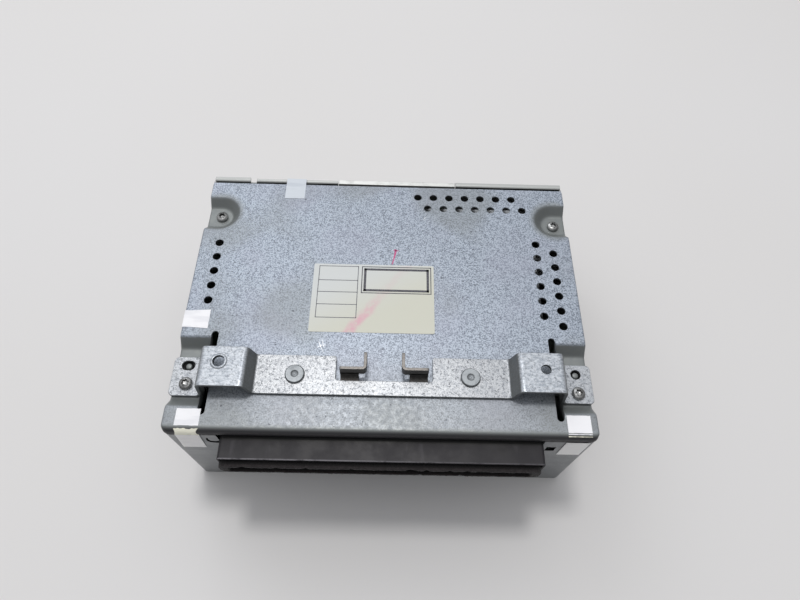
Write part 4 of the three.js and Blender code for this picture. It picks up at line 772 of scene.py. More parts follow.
@dataclass(frozen=True)
class LabelPaper(Finish):
    """Cream label paper with a painted sheen that whitens its upper left corner, and a pink ink smear rubbed
    across it.
    """

    # The whiter tone is a painted sheen towards the upper left; cream is the paper's own tone.
    white: Colour = tone(204, 208, 208)
    cream: Colour = tone(202, 203, 190)
    pink: Colour = tone(214, 158, 176)
    slant: float = 0.55
    whitening: Band = (-12.0, 24.0)
    smear_foot: Spot = (-17.5, -20.6)
    smear_head: Spot = (3.0, 7.0)
    smear_half: Band = (0.6, 3.4)
    smear_fading: Band = (-15.0, 4.0)
    wobble: float = 3.2

    def dress(self, bench: Bench) -> None:
        """Paints a sheen along the paper's diagonal and lays the smear along the line from its foot to its
        head.

        Args:
            bench: where its nodes go.
        """
        fibre = bench.noise(0.7, 4.0, 0.7)
        diagonal = bench.minus(bench.y, bench.times(bench.x, self.slant))
        # Painted sheen: the paper whitens towards its upper left corner.
        paper = bench.blend(bench.ramp(diagonal, *self.whitening), self.cream, self.white)
        (foot_x, foot_y), (head_x, head_y) = self.smear_foot, self.smear_head
        length = math.hypot(head_x - foot_x, head_y - foot_y)
        across = bench.plus(
            bench.times(bench.minus(bench.x, foot_x), -(head_y - foot_y) / length),
            bench.times(bench.minus(bench.y, foot_y), (head_x - foot_x) / length),
        )
        wobble = bench.times(bench.minus(bench.noise(7.0), 0.5), self.wobble)
        band = bench.fall(bench.sum("ABSOLUTE", bench.plus(across, wobble)), *self.smear_half)
        patchy = bench.ramp(bench.noise(2.6, 3.0, 0.6), 0.3, 0.6, 0.35, 1.0)
        ink = bench.times(band, patchy, bench.ramp(bench.y, *self.smear_fading, 0.78, 0.12))
        bench.set(Base_Color=bench.blend(ink, paper, self.pink))
        bench.set(Roughness=bench.ramp(fibre, 0.3, 0.7, 0.4, 0.55))
        bench.relief(fibre, 0.015, 0.5)


@dataclass(frozen=True)
class PrintedInk(Finish):
    """Printed or hand-drawn ink that is a little uneven."""

    base: Colour = tone(58, 58, 66)
    faded: Colour = tone(92, 93, 102)

    def dress(self, bench: Bench) -> None:
        """Fades the ink by fine noise."""
        worn = bench.ramp(bench.noise(0.8, 3.0, 0.7), 0.42, 0.7)
        bench.set(Base_Color=bench.blend(worn, self.base, self.faded), Roughness=0.5)


@dataclass(frozen=True)
class BoardLaminate(Finish):
    """Green solder mask over copper tracks on glass-fibre board."""

    mask: Colour = tone(34, 98, 58)
    track: Colour = tone(52, 128, 74)
    pad: Colour = tone(196, 190, 160)
    block: float = 9.0
    track_pitch: float = 1.1

    def dress(self, bench: Bench) -> None:
        """Runs tracks along both axes in blocks, with tinned pads at scattered points.

        Args:
            bench: where its nodes go.
        """
        _, colour = bench.cells(self.block)
        across, along = (bench.sum("PINGPONG", axis, self.track_pitch) for axis in (bench.x, bench.y))
        chosen = bench.add("ShaderNodeMix", data_type="FLOAT")
        for number, value in ((0, bench.ramp(bench.red(colour), 0.49, 0.51)), (2, across), (3, along)):
            bench.feed(chosen.inputs[number], value)
        tracks = bench.ramp(chosen.outputs[0], 0.45, 0.6)
        pads = bench.specks(2.8, 0.55, 0.5)
        colour = bench.blend(pads, bench.blend(tracks, self.mask, self.track), self.pad)
        bench.set(Base_Color=colour, Metallic=bench.times(pads, 0.7))
        bench.set(Roughness=bench.ramp(pads, 0.0, 1.0, 0.4, 0.3), Coat_Weight=0.2)
        bench.relief(bench.plus(tracks, pads), 0.05, 0.7)


@dataclass(frozen=True)
class LensGlass(Finish):
    """A small coated lens, dark with a blue-violet bloom."""

    base: Colour = tone(46, 54, 92)
    bloom: Colour = tone(96, 84, 140)

    def dress(self, bench: Bench) -> None:
        """Gives the lens a smooth coat over a dark body."""
        haze = bench.ramp(bench.noise(1.5), 0.4, 0.8, 0.0, 0.4)
        bench.set(Base_Color=bench.blend(haze, self.base, self.bloom), Roughness=0.06, Coat_Weight=1.0)


class Surface(Enum):
    """The finishes of this radio, one for each kind of surface on it."""

    COVER = GalvanisedSheet("galvanised_cover")
    WALLS = WallSheet("galvanised_walls")
    BACK = BackSheet("back_sheet_steel", tone(140, 143, 143), tone(126, 129, 129), tone(160, 163, 163), 0.35)
    BRACKET = ZincPlating("zinc_plating")
    HOOK = ShadedHookSheet("shaded_hooks")
    SCREW = PlainMetal("screw_steel", tone(162, 163, 163), tone(92, 93, 92), EVEN, 0.6, 0.9, 0.26)
    RIVET = PlainMetal("rivet_aluminium", tone(142, 147, 151), tone(104, 109, 113), EVEN, 0.5, 0.6, 0.42)
    CASTING = PlainMetal("cast_alloy", tone(206, 208, 206), tone(180, 182, 180), EVEN, 0.9, 0.85, 0.46, 0.05)
    TINPLATE = PlainMetal("tinplate", tone(182, 186, 189), tone(150, 153, 156), (0.12, 1.0, 1.0), rough=0.32)
    STEEL = PlainMetal(
        "ground_steel", tone(186, 188, 192), tone(148, 150, 154), (0.1, 1.0, 1.0), size=0.5, rough=0.24
    )
    NOSE = NosePlastic("nose_plastic", tone(28, 26, 31), tone(40, 38, 43), tone(70, 68, 74))
    BLACK = MouldedPlastic("black_moulding", tone(44, 43, 46), tone(68, 67, 70), scuffs=0.15)
    GREY = MouldedPlastic(
        "grey_moulding", tone(112, 117, 121), tone(138, 142, 146), tone(160, 163, 166), MATT, 0.15
    )
    PALE = MouldedPlastic(
        "pale_moulding", tone(226, 224, 214), tone(204, 201, 188), tone(240, 238, 230), MATT, 0.15
    )
    SLEEVE = MouldedPlastic(
        "blue_sleeve", tone(40, 62, 120), tone(52, 76, 138), tone(90, 108, 160), 0.36, 0.1
    )
    FOAM = OldFoam("crumbling_foam")
    RUBBER = DullRubber("dull_rubber")
    SEAL = SealPaper("seal_paper_white")
    SEAL_CLEAR = SealPaper("seal_paper_thin", tone(204, 211, 219), tone(186, 194, 204))
    # Painted light: a brighter copy of the white paper for the lower patches on the shaded front wall.
    SEAL_BRIGHTENED = SealPaper("seal_paper_brightened", tone(254, 254, 254), tone(243, 243, 244))
    # Cream torn layer of the paper, painted brighter to stand in for light on the shaded roll of the lip.
    SEAL_TORN = SealPaper("seal_paper_torn", tone(254, 253, 236), tone(216, 212, 186))
    LABEL = LabelPaper("label_paper_cream")
    RULES = PrintedInk("printed_rules", tone(84, 86, 94), tone(120, 122, 128))
    FRAME_INK = PrintedInk("printed_frame")
    PINK_INK = PrintedInk("pink_ink", tone(184, 58, 118), tone(206, 116, 156))
    SCRATCH = PlainMetal("bright_scratch", tone(236, 238, 240), tone(206, 210, 214), EVEN, 0.4, 0.6, 0.3)
    BOARD = BoardLaminate("board_laminate")
    LENS = LensGlass("lens_glass_coated")
    FILM = MouldedPlastic(
        "ribbon_film_amber", tone(206, 188, 140), tone(190, 170, 118), tone(226, 212, 172), 0.34, 0.1
    )


# Surfaces worked out with numpy


def bent_path(corners: Sequence[Spot], radius: float, steps: int = 10, right: float = 0.0) -> np.ndarray:
    """Rounds the inner corners of a polyline.

    At a corner with unit directions a and b, the arc starts radius * tan(angle / 2) before the corner, and
    its points are centre + radius * (cos, sin) of evenly spaced angles.

    Args:
        corners: points of the polyline.
        radius: radius of every arc, or of those that turn left.
        steps: pieces in each arc.
        right: radius of the arcs that turn right, where it is not zero.

    Returns:
        The rounded polyline, one point per row.
    """
    spots = np.asarray(corners, float)
    parts = [spots[:1]]
    for before, corner, after in zip(spots[:-2], spots[1:-1], spots[2:]):
        into = (corner - before) / np.linalg.norm(corner - before)
        out = (after - corner) / np.linalg.norm(after - corner)
        turn = math.atan2(into[0] * out[1] - into[1] * out[0], float(into @ out))
        reach = right if right and turn < 0 else radius
        start = corner - into * reach * math.tan(abs(turn) / 2)
        centre = start + np.array([-into[1], into[0]]) * math.copysign(reach, turn)
        angle = math.atan2(*(start - centre)[::-1]) + np.linspace(0, turn, steps + 1)
        parts.append(centre + reach * np.stack([np.cos(angle), np.sin(angle)], 1))
    parts.append(spots[-1:])
    return np.concatenate(parts)


@dataclass
class Track:
    """A rounded polyline that is read by the distance run along it."""

    corners: Sequence[Spot]
    radius: float
    right: float = 0.0
    path: np.ndarray = field(init=False)
    run: np.ndarray = field(init=False)

    def __post_init__(self) -> None:
        """Rounds the path and adds up its length."""
        self.path = bent_path(self.corners, self.radius, right=self.right)
        self.run = np.concatenate([[0.0], np.cumsum(np.linalg.norm(np.diff(self.path, axis=0), axis=1))])

    @property
    def length(self) -> float:
        """The path's whole length."""
        return float(self.run[-1])

    def at(self, run: np.ndarray) -> np.ndarray:
        """Returns the points at distances along the path, straight on past its ends.

        Args:
            run: distances, in millimetres.

        Returns:
            One point per distance.
        """
        held = np.clip(run, 0.0, self.length)
        spot = np.stack([np.interp(held, self.run, self.path[:, axis]) for axis in (0, 1)], 1)
        first = (self.path[1] - self.path[0]) / np.linalg.norm(self.path[1] - self.path[0])
        last = (self.path[-1] - self.path[-2]) / np.linalg.norm(self.path[-1] - self.path[-2])
        return spot + np.where((run < 0)[:, None], first, last) * (run - held)[:, None]

    def run_at(self, first: float) -> float:
        """Returns the distance at which the path's first coordinate has a value; it must never turn back."""
        return float(np.interp(first, self.path[:, 0], self.run))


@dataclass(frozen=True)
class Hole:
    """A round or long hole: every point within a radius of the line from one end to the other."""

    x0: float
    y0: float
    x1: float
    y1: float
    radius: float

    @classmethod
    def round(cls, x: float, y: float, radius: float) -> "Hole":
        """Returns a round hole."""
        return cls(x, y, x, y, radius)

    def distance(self, points: np.ndarray) -> np.ndarray:
        """Returns each point's distance to the hole's edge, negative inside it.

        Args:
            points: one place per row.

        Returns:
            One distance per place.
        """
        start = np.array([self.x0, self.y0])
        run = np.array([self.x1, self.y1]) - start
        share = np.clip((points - start) @ run / max(float(run @ run), 1e-9), 0, 1)
        return np.linalg.norm(points - start - share[:, None] * run, axis=1) - self.radius

    def loop(self, step: float = 0.42) -> np.ndarray:
        """Returns points round the hole: two half circles, each centre + radius * (cos t, sin t).

        Args:
            step: rough distance between points.

        Returns:
            One point per row.
        """
        count = max(10, int(math.pi * self.radius / step))
        along = math.atan2(self.y1 - self.y0, self.x1 - self.x0)
        turn = along - math.pi / 2 + np.linspace(0, math.pi, count, endpoint=False)
        far = np.stack([self.x1 + self.radius * np.cos(turn), self.y1 + self.radius * np.sin(turn)], 1)
        near = np.stack([self.x0 - self.radius * np.cos(turn), self.y0 - self.radius * np.sin(turn)], 1)
        return np.concatenate([far, near])


def inside(points: np.ndarray, outline: np.ndarray) -> np.ndarray:
    """Says which points lie in a closed outline, by counting the sides that a ray to the right crosses.

    Args:
        points: one place per row.
        outline: the outline's corners.

    Returns:
        True where a place is inside.
    """
    start, end = outline, np.roll(outline, -1, axis=0)
    x, y = points[:, :1], points[:, 1:]
    spans = (start[:, 1] > y) != (end[:, 1] > y)
    rise = np.where(end[:, 1] == start[:, 1], 1e-12, end[:, 1] - start[:, 1])
    crossing = start[:, 0] + (y - start[:, 1]) * (end[:, 0] - start[:, 0]) / rise
    return (spans & (x < crossing)).sum(1) % 2 == 1


def lattice(x_steps: np.ndarray, y_steps: np.ndarray) -> np.ndarray:
    """Returns every pair of two lists of steps, one pair per row."""
    x, y = np.meshgrid(x_steps, y_steps, indexing="ij")
    return np.stack([x.ravel(), y.ravel()], 1)


def rounded_box(x0: float, x1: float, y0: float, y1: float, radius: float, steps: int = 5) -> np.ndarray:
    """Returns the outline of a rectangle whose corners are arcs of a radius.

    Args:
        x0: its left.
        x1: its right.
        y0: its near side.
        y1: its far side.
        radius: radius of its corners.
        steps: pieces in each corner.

    Returns:
        One point per row.
    """
    angle = np.linspace(0, math.pi / 2, steps + 1)
    left, right, low, high = x0 + radius, x1 - radius, y0 + radius, y1 - radius
    arcs = []
    for x, y, quarter in ((right, low, -1), (right, high, 0), (left, high, 1), (left, low, 2)):
        turn = angle + quarter * math.pi / 2
        arcs.append(np.stack([x + radius * np.cos(turn), y + radius * np.sin(turn)], 1))
    return np.concatenate(arcs)


def split_outline(outline: np.ndarray, step: float) -> np.ndarray:
    """Returns the outline with points added so that no side is longer than a step.

    Args:
        outline: a closed outline.
        step: the longest side left.

    Returns:
        One point per row.
    """
    ends = np.roll(outline, -1, axis=0)
    counts = np.maximum(1, np.ceil(np.linalg.norm(ends - outline, axis=1) / step).astype(int))
    shares = [np.linspace(0, 1, count, endpoint=False)[:, None] for count in counts]
    return np.concatenate([start + (end - start) * share for start, end, share in zip(outline, ends, shares)])


Net = tuple[np.ndarray, np.ndarray]
SAME_SPOT = 1e-5
NO_AREA = 1e-7
CHORD_SLACK = 0.02


def flat_net(
    outline: np.ndarray, holes: Sequence[Hole], fill: np.ndarray, gap: float = 0.3, ring: float = 0.0
) -> Net:
    """Cuts a flat blank with holes into triangles.

    Args:
        outline: the blank's closed outline.
        holes: the holes through it.
        fill: points that the triangles should use where they lie in the blank.
        gap: least distance from those points to an edge.
        ring: distance from each hole of one more ring of points, if it isn't zero.

    Returns:
        The points, and the triangles as rows of three point numbers that turn left.
    """
    loops = [outline, *(hole.loop() for hole in holes)]
    kept = fill[inside(fill, outline)]
    for hole in holes:
        kept = kept[hole.distance(kept) > gap]
    for start, end in zip(outline, np.roll(outline, -1, axis=0)):
        kept = kept[Hole(*start, *end, 0.0).distance(kept) > gap]
    rings = []
    for hole in holes if ring else ():
        kept = kept[hole.distance(kept) > ring + gap]
        rings.append(replace(hole, radius=hole.radius + ring).loop())
    points = np.concatenate([*loops, kept, *rings])
    edges, base = [], 0
    for loop in loops:
        numbers = np.arange(len(loop)) + base
        edges += np.stack([numbers, np.roll(numbers, -1)], 1).tolist()
        base += len(loop)
    found = delaunay_2d_cdt([Vector(spot) for spot in points], edges, [], 0, SAME_SPOT)
    spots = np.array([tuple(spot) for spot in found[0]])
    faces = np.array([tuple(face) for face in found[2]])
    middle = spots[faces].mean(1)
    solid = inside(middle, outline)
    for hole in holes:
        solid &= hole.distance(middle) > -CHORD_SLACK * hole.radius
    faces = faces[solid]
    a, b, c = (spots[faces[:, corner]] for corner in range(3))
    area = (b - a)[:, 0] * (c - a)[:, 1] - (b - a)[:, 1] * (c - a)[:, 0]
    faces[area < 0] = faces[area < 0][:, ::-1]
    return spots, faces[np.abs(area) > NO_AREA]


Mapped = Callable[[np.ndarray], np.ndarray]


def normals_of(surface: Mapped, net: np.ndarray, reach: float = 0.02) -> np.ndarray:
    """Returns unit normals of S(u, v): the cross product of dS/du and dS/dv by central differences.

    Args:
        surface: the map from the flat net to space.
        net: points of the flat net.
        reach: half the step of the differences.

    Returns:
        One normal per point.
    """
    step_u, step_v = np.array([reach, 0.0]), np.array([0.0, reach])
    along = surface(net + step_u) - surface(net - step_u)
    across = surface(net + step_v) - surface(net - step_v)
    normal = np.cross(along, across)
    return normal / np.linalg.norm(normal, axis=1, keepdims=True)


def thick_sheet(surface: Mapped, net: np.ndarray, faces: np.ndarray, thickness: float) -> Net:
    """Gives a triangulated surface a thickness behind it.

    The front is S(u, v), the back is S(u, v) - thickness * N(u, v), and a strip closes every open edge.

    Args:
        surface: the map from the flat net to space.
        net: points of the flat net.
        faces: its triangles.
        thickness: how far the back lies behind the front.

    Returns:
        Points and triangles of the closed sheet.
    """
    front = surface(net)
    back = front - thickness * normals_of(surface, net)
    count = len(net)
    sides = np.concatenate([faces[:, [0, 1]], faces[:, [1, 2]], faces[:, [2, 0]]])
    ordered = np.sort(sides, axis=1)
    _, index, seen = np.unique(ordered, axis=0, return_inverse=True, return_counts=True)
    open_sides = sides[seen[index.ravel()] == 1]
    start, end = open_sides[:, 0], open_sides[:, 1]
    near, far = np.stack([end, start, start + count], 1), np.stack([end, start + count, end + count], 1)
    return np.concatenate([front, back]), np.concatenate([faces, faces[:, ::-1] + count, near, far])


def facing(points: np.ndarray, faces: np.ndarray, side: int) -> Net:
    """Returns a sheet with its faces turned over where the side is negative."""
    return points, faces if side > 0 else faces[:, ::-1]


def joined(pieces: Sequence[Net]) -> tuple[np.ndarray, list[np.ndarray]]:
    """Joins several nets: all their points, and the faces of each with their point numbers moved on.

    Args:
        pieces: points and faces of each.

    Returns:
        The points, and one array of faces per net.
    """
    bases = np.cumsum([0, *(len(points) for points, _ in pieces)])
    faces = [part + base for (_, part), base in zip(pieces, bases)]
    return np.concatenate([points for points, _ in pieces]), faces


def grid_faces(rows: int, columns: int, wrap: bool = False) -> np.ndarray:
    """Returns the quads of a grid whose points are numbered row by row.

    Args:
        rows: number of rows of points.
        columns: number of points in a row.
        wrap: whether the last column joins the first.

    Returns:
        One quad per row of four point numbers.
    """
    row = np.arange(rows - 1)[:, None] * columns
    column = np.arange(columns if wrap else columns - 1)[None, :]
    after = (column + 1) % columns
    above = row + columns
    return np.stack([row + column, row + after, above + after, above + column], -1).reshape(-1, 4)


def turned(profile: np.ndarray, count: int = 48, lobes: Callable | None = None) -> Net:
    """Turns a profile of radius and height about Z: P = (r cos t, r sin t, z).

    Args:
        profile: radius and height of each ring, from the bottom to the top.
        count: points in a ring.
        lobes: a function of the ring radii, heights and angles that gives the changed radii.

    Returns:
        Points and quads; the rings of zero radius are closed by a weld.
    """
    angle = np.linspace(0, 2 * math.pi, count, endpoint=False)
    radius = np.repeat(profile[:, :1], count, axis=1)
    height = np.repeat(profile[:, 1:], count, axis=1)
    if lobes:
        radius = lobes(radius, height, angle[None, :])
    points = np.stack([radius * np.cos(angle), radius * np.sin(angle), height], -1).reshape(-1, 3)
    return points, grid_faces(len(profile), count, wrap=True)


def triangle_wave(turns: np.ndarray) -> np.ndarray:
    """Returns 1 at whole turns and 0 at half turns, in straight lines between."""
    return np.abs((turns % 1.0) - 0.5) * 2


def value_noise(points: np.ndarray, pitch: float, seed: int) -> np.ndarray:
    """Returns smooth noise from 0 to 1: random lattice values mixed by f * f * (3 - 2 f) along each axis.

    Args:
        points: places to read it at.
        pitch: distance between lattice points.
        seed: number that picks the random values.

    Returns:
        One value per point.
    """
    size = 64
    table = np.random.default_rng(seed).random((size, size, size))
    scaled = points / pitch
    base = np.floor(scaled).astype(int)
    share = scaled - base
    share = share * share * (3 - 2 * share)
    total = np.zeros(len(points))
    for corner in np.ndindex(2, 2, 2):
        weight = np.prod(np.where(np.array(corner) == 1, share, 1 - share), axis=1)
        spot = (base + corner) % size
        total += weight * table[spot[:, 0], spot[:, 1], spot[:, 2]]
    return total


@dataclass
class Part:
    """One finished piece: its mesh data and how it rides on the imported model.

    Edges steeper than sharp, in degrees, aren't shaded smooth. The bevel's width and the weld's reach are in
    millimetres, and shade is one value per point that its finish can read.
    """

    name: str
    points: np.ndarray
    faces: Sequence[np.ndarray]
    surface: Surface
    slot: str
    body: str = "case"
    replaces: Sequence[str] = ()
    sharp: float = 38.0
    bevel: float = 0.0
    weld: float = 0.0005
    shade: np.ndarray | None = None

    def build(self) -> bpy.types.Object:
        """Puts the points and faces into a mesh, closes its seams and joins it to its body.

        Returns:
            The new object.
        """
        mesh = bpy.data.meshes.new(self.name)
        sizes = np.concatenate([np.full(len(part), part.shape[1]) for part in self.faces])
        corners = np.concatenate([part.ravel() for part in self.faces])
        mesh.vertices.add(len(self.points))
        mesh.vertices.foreach_set("co", (self.points * MM).astype(np.float32).ravel())
        mesh.loops.add(len(corners))
        mesh.loops.foreach_set("vertex_index", corners.astype(np.int32))
        mesh.polygons.add(len(sizes))
        mesh.polygons.foreach_set("loop_start", np.concatenate([[0], np.cumsum(sizes)[:-1]]).astype(np.int32))
        mesh.update(calc_edges=True)
        if self.shade is not None:
            shade = mesh.attributes.new("shade", "FLOAT", "POINT")
            shade.data.foreach_set("value", self.shade.astype(np.float32))
        close_seams(mesh, self.weld * MM)
        mesh.polygons.foreach_set("use_smooth", np.ones(len(mesh.polygons), bool))
        mesh.set_sharp_from_angle(angle=math.radians(self.sharp))
        mesh.materials.append(self.surface.value.material())
        piece = bpy.data.objects.new(self.name, mesh)
        bpy.context.scene.collection.objects.link(piece)
        if self.bevel:
            round_edges(piece, self.bevel)
        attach(piece, self.body)
        if self.replaces:
            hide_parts(*self.replaces)
        LOG.info("piece %s: %d triangles on %s", self.name, int((sizes - 2).sum()), self.body)
        return piece


def close_seams(mesh: bpy.types.Mesh, distance: float) -> None:
    """Merges points that lie on each other and drops faces that this leaves without area.

    Args:
        mesh: the mesh.
        distance: how near points are merged, in metres.
    """
    work = bmesh.new()
    work.from_mesh(mesh)
    bmesh.ops.remove_doubles(work, verts=work.verts, dist=distance)
    bmesh.ops.dissolve_degenerate(work, edges=work.edges, dist=distance / 10)
    work.to_mesh(mesh)
    work.free()


def round_edges(piece: bpy.types.Object, width: float) -> None:
    """Adds a bevel of that width in millimetres on a piece's sharp edges.

    Args:
        piece: the object.
        width: the bevel's width.
    """
    bevel = piece.modifiers.new("rounded_edges", "BEVEL")
    bevel.width = width * MM
    bevel.segments = 2
    bevel.limit_method = "ANGLE"
    bevel.angle_limit = math.radians(50)
    bevel.harden_normals = False
    bevel.use_clamp_overlap = False


# Sub-assemblies


@dataclass
class TopCover:
    """The pressed top cover: S(u, v) is the flat plan with its front rolled down and its recesses pressed in.

    For v behind the lip's bend the point is (u, v, TOP + pressed(u, v)). In front of it, the sheet follows a
    quarter circle of the lip's radius and then hangs straight down.
    """

    thickness: float = 1.0
    lip_front: float = -66.2
    lip_radius: float = 3.0
    lip_drop: float = 3.0
    corner_radius: float = 3.0
    edge_inset: float = 0.06
    plan_radius: float = 1.2
    side_roll: float = 0.8
    wave: float = 0.02
    dimple_x: float = 84.05
    dimple_y: float = 46.2
    slot_inner: float = 73.45
    slot_outer: float = 76.55
    slot_near: float = -58.6
    slot_far: float = -20.0
    trough_inset: float = 0.8
    vent_radius: float = 2.0
    vent_pitch: float = 8.0
    vent_rows: Sequence[tuple[float, float, int]] = ((63.3, 59.0, 7), (68.3, 52.0, 7))
    vent_columns: Sequence[tuple[float, float, int]] = ((73.25, 31.2, 6), (81.4, 26.1, 6), (-81.2, 27.8, 5))
    screw_hole: float = 1.65
    rivet_hole: float = 2.2
    stud_radius: float = 1.85
    stud_height: float = 1.1
    stud_section: Sequence[Sequence[float]] = ((0, 0.3, 0.6, 0.8, 0.92, 1.05), (1, 0.97, 0.86, 0.62, 0.2, 0))
    dimple: Track = field(init=False)
    valley: Track = field(init=False)

    def __post_init__(self) -> None:
        """Draws a dimple's radial section, and a front recess's section seen from the side."""
        self.dimple = Track([(0.0, -4.5), (5.7, -4.5), (10.0, 0.0), (14.0, 0.0)], 1.4)
        corners = [(-57.2, 0.0), (-55.2, 0.0), (-50.7, -4.7), (-27.0, -4.7), (-22.7, 0.0), (-20.7, 0.0)]
        self.valley = Track(corners, 2.0)

    @property
    def bend_start(self) -> float:
        """Where the flat top turns into the lip."""
        return self.lip_front + self.lip_radius

    @property
    def lip_end(self) -> float:
        """The lip's lower edge on the flat plan."""
        straight = self.lip_drop - self.lip_radius
        return self.bend_start - self.lip_radius * math.pi / 2 - straight

    def pressed(self, x: np.ndarray, y: np.ndarray) -> np.ndarray:
        """Returns the presswork's height: dimples, recesses and rolled sides below zero, studs above.

        Args:
            x: places across.
            y: places along.

        Returns:
            One height per place.
        """
        side = np.maximum(np.abs(x) - self.dimple_x, 0.0)
        inner = np.minimum(np.abs(x) - self.dimple_x, 0.0)
        radial = np.where(side > 0, np.abs(y - self.dimple_y), np.hypot(inner, y - self.dimple_y))
        bowl = np.interp(radial, self.dimple.path[:, 0], self.dimple.path[:, 1])
        trough = np.interp(y, self.valley.path[:, 0], self.valley.path[:, 1])
        studs = np.zeros(len(x))
        for stud_x, stud_y in STUDS:
            away = np.hypot(x - stud_x, y - stud_y) / self.stud_radius
            studs += self.stud_height * np.interp(away, *self.stud_section)
        past = np.clip(np.abs(x) - (HALF - self.side_roll), 0.0, 0.97 * self.side_roll)
        roll = self.side_roll - np.sqrt(self.side_roll**2 - past**2)
        return bowl + np.where(np.abs(x) > self.slot_inner + self.trough_inset, trough, 0.0) + studs - roll

    def place(self, net: np.ndarray) -> np.ndarray:
        """Returns S(u, v) for rows of u and v, with a faint wave over the whole sheet.

        Args:
            net: rows of u and v.

        Returns:
            One point in space per row.
        """
        x, v = net[:, 0], net[:, 1]
        bend = np.clip((self.bend_start - v) / self.lip_radius, 0.0, math.pi / 2)
        hang = np.maximum(self.bend_start - v - self.lip_radius * math.pi / 2, 0.0)
        wave = self.wave * np.sin(x / 17.0) * np.sin(v / 13.0)
        y = np.where(v < self.bend_start, self.bend_start - self.lip_radius * np.sin(bend), v)
        z = TOP - self.lip_radius * (1 - np.cos(bend)) - hang + self.pressed(x, v) + wave
        past = np.maximum(np.abs(x) - (HALF - self.corner_radius), 0.0)
        swing = self.corner_radius - np.sqrt(np.maximum(self.corner_radius**2 - past**2, 0.0))
        return np.stack([x, y + swing * np.sin(bend), z], 1)

    def holes(self) -> list[Hole]:
        """Returns every vent, slot and fastener hole.

        Returns:
            The holes on the flat plan.
        """
        pitch, radius = self.vent_pitch, self.vent_radius
        found = [Hole.round(x - i * pitch, y, radius) for x, y, count in self.vent_rows for i in range(count)]
        for x, y, count in self.vent_columns:
            found += [Hole.round(x, y - i * pitch, radius) for i in range(count)]
        middle = (self.slot_inner + self.slot_outer) / 2
        wide = (self.slot_outer - self.slot_inner) / 2
        near, far = self.slot_near + wide, self.slot_far - wide
        found += [Hole(side * middle, near, side * middle, far, wide) for side in (-1, 1)]
        found += [Hole.round(x, y, self.screw_hole) for x, y in (*DIMPLE_SCREWS, *BRACKET_SCREWS)]
        return found + [Hole.round(x, y, self.rivet_hole) for x, y in RIVETS]

    def fill(self) -> np.ndarray:
        """Lays a coarse lattice on the flat, and finer ones wherever the sheet is worked.

        Returns:
            Points of the flat net.
        """
        flat = lattice(np.arange(-87, 88, 3.0), np.arange(self.bend_start, BACK, 3.0))
        lip = lattice(np.arange(-88, 89, 2.0), np.linspace(self.lip_end, self.bend_start, 15)[1:])
        ends = np.concatenate([np.arange(-90.0, -87.4, 0.4), np.arange(87.6, 90.2, 0.4)])
        corner = lattice(ends, lip[:15, 1])
        rolls = np.array([-90.3, -90.15, -89.95, -89.7, 89.7, 89.95, 90.15, 90.3])
        edges = lattice(rolls, np.arange(-62.0, BACK, 0.75))
        bowls = [lattice(side * np.arange(73.0, 89.2, 0.75), np.arange(35.5, 57.5, 0.75)) for side in (-1, 1)]
        steps = np.concatenate([np.arange(-58.0, -49.5, 0.6), np.arange(-28.2, -20.0, 0.6)])
        troughs = [lattice(side * np.arange(76.8, 89.2, 1.6), steps) for side in (-1, 1)]
        fine = np.arange(-2.1, 2.2, 0.26)
        studs = [lattice(x + fine, y + fine) for x, y in STUDS]
        near_bowl = np.hypot(np.abs(flat[:, 0]) - 84, flat[:, 1] - self.dimple_y) < 13
        return np.concatenate([flat[~near_bowl], lip, corner, edges, *bowls, *troughs, *studs])

    def build(self) -> None:
        """Cuts the blank, presses it, and gives it its thickness."""
        edge = HALF - self.edge_inset
        outline = split_outline(rounded_box(-edge, edge, self.lip_end, BACK, self.plan_radius), 2.0)
        net, faces = flat_net(outline, self.holes(), self.fill(), 0.12)
        points, triangles = thick_sheet(self.place, net, faces, self.thickness)
        part = Part("cover_sheet", points, [triangles], Surface.COVER, "case_sheet", bevel=0.05)
        part.replaces = ["top_cover"]
        part.build()


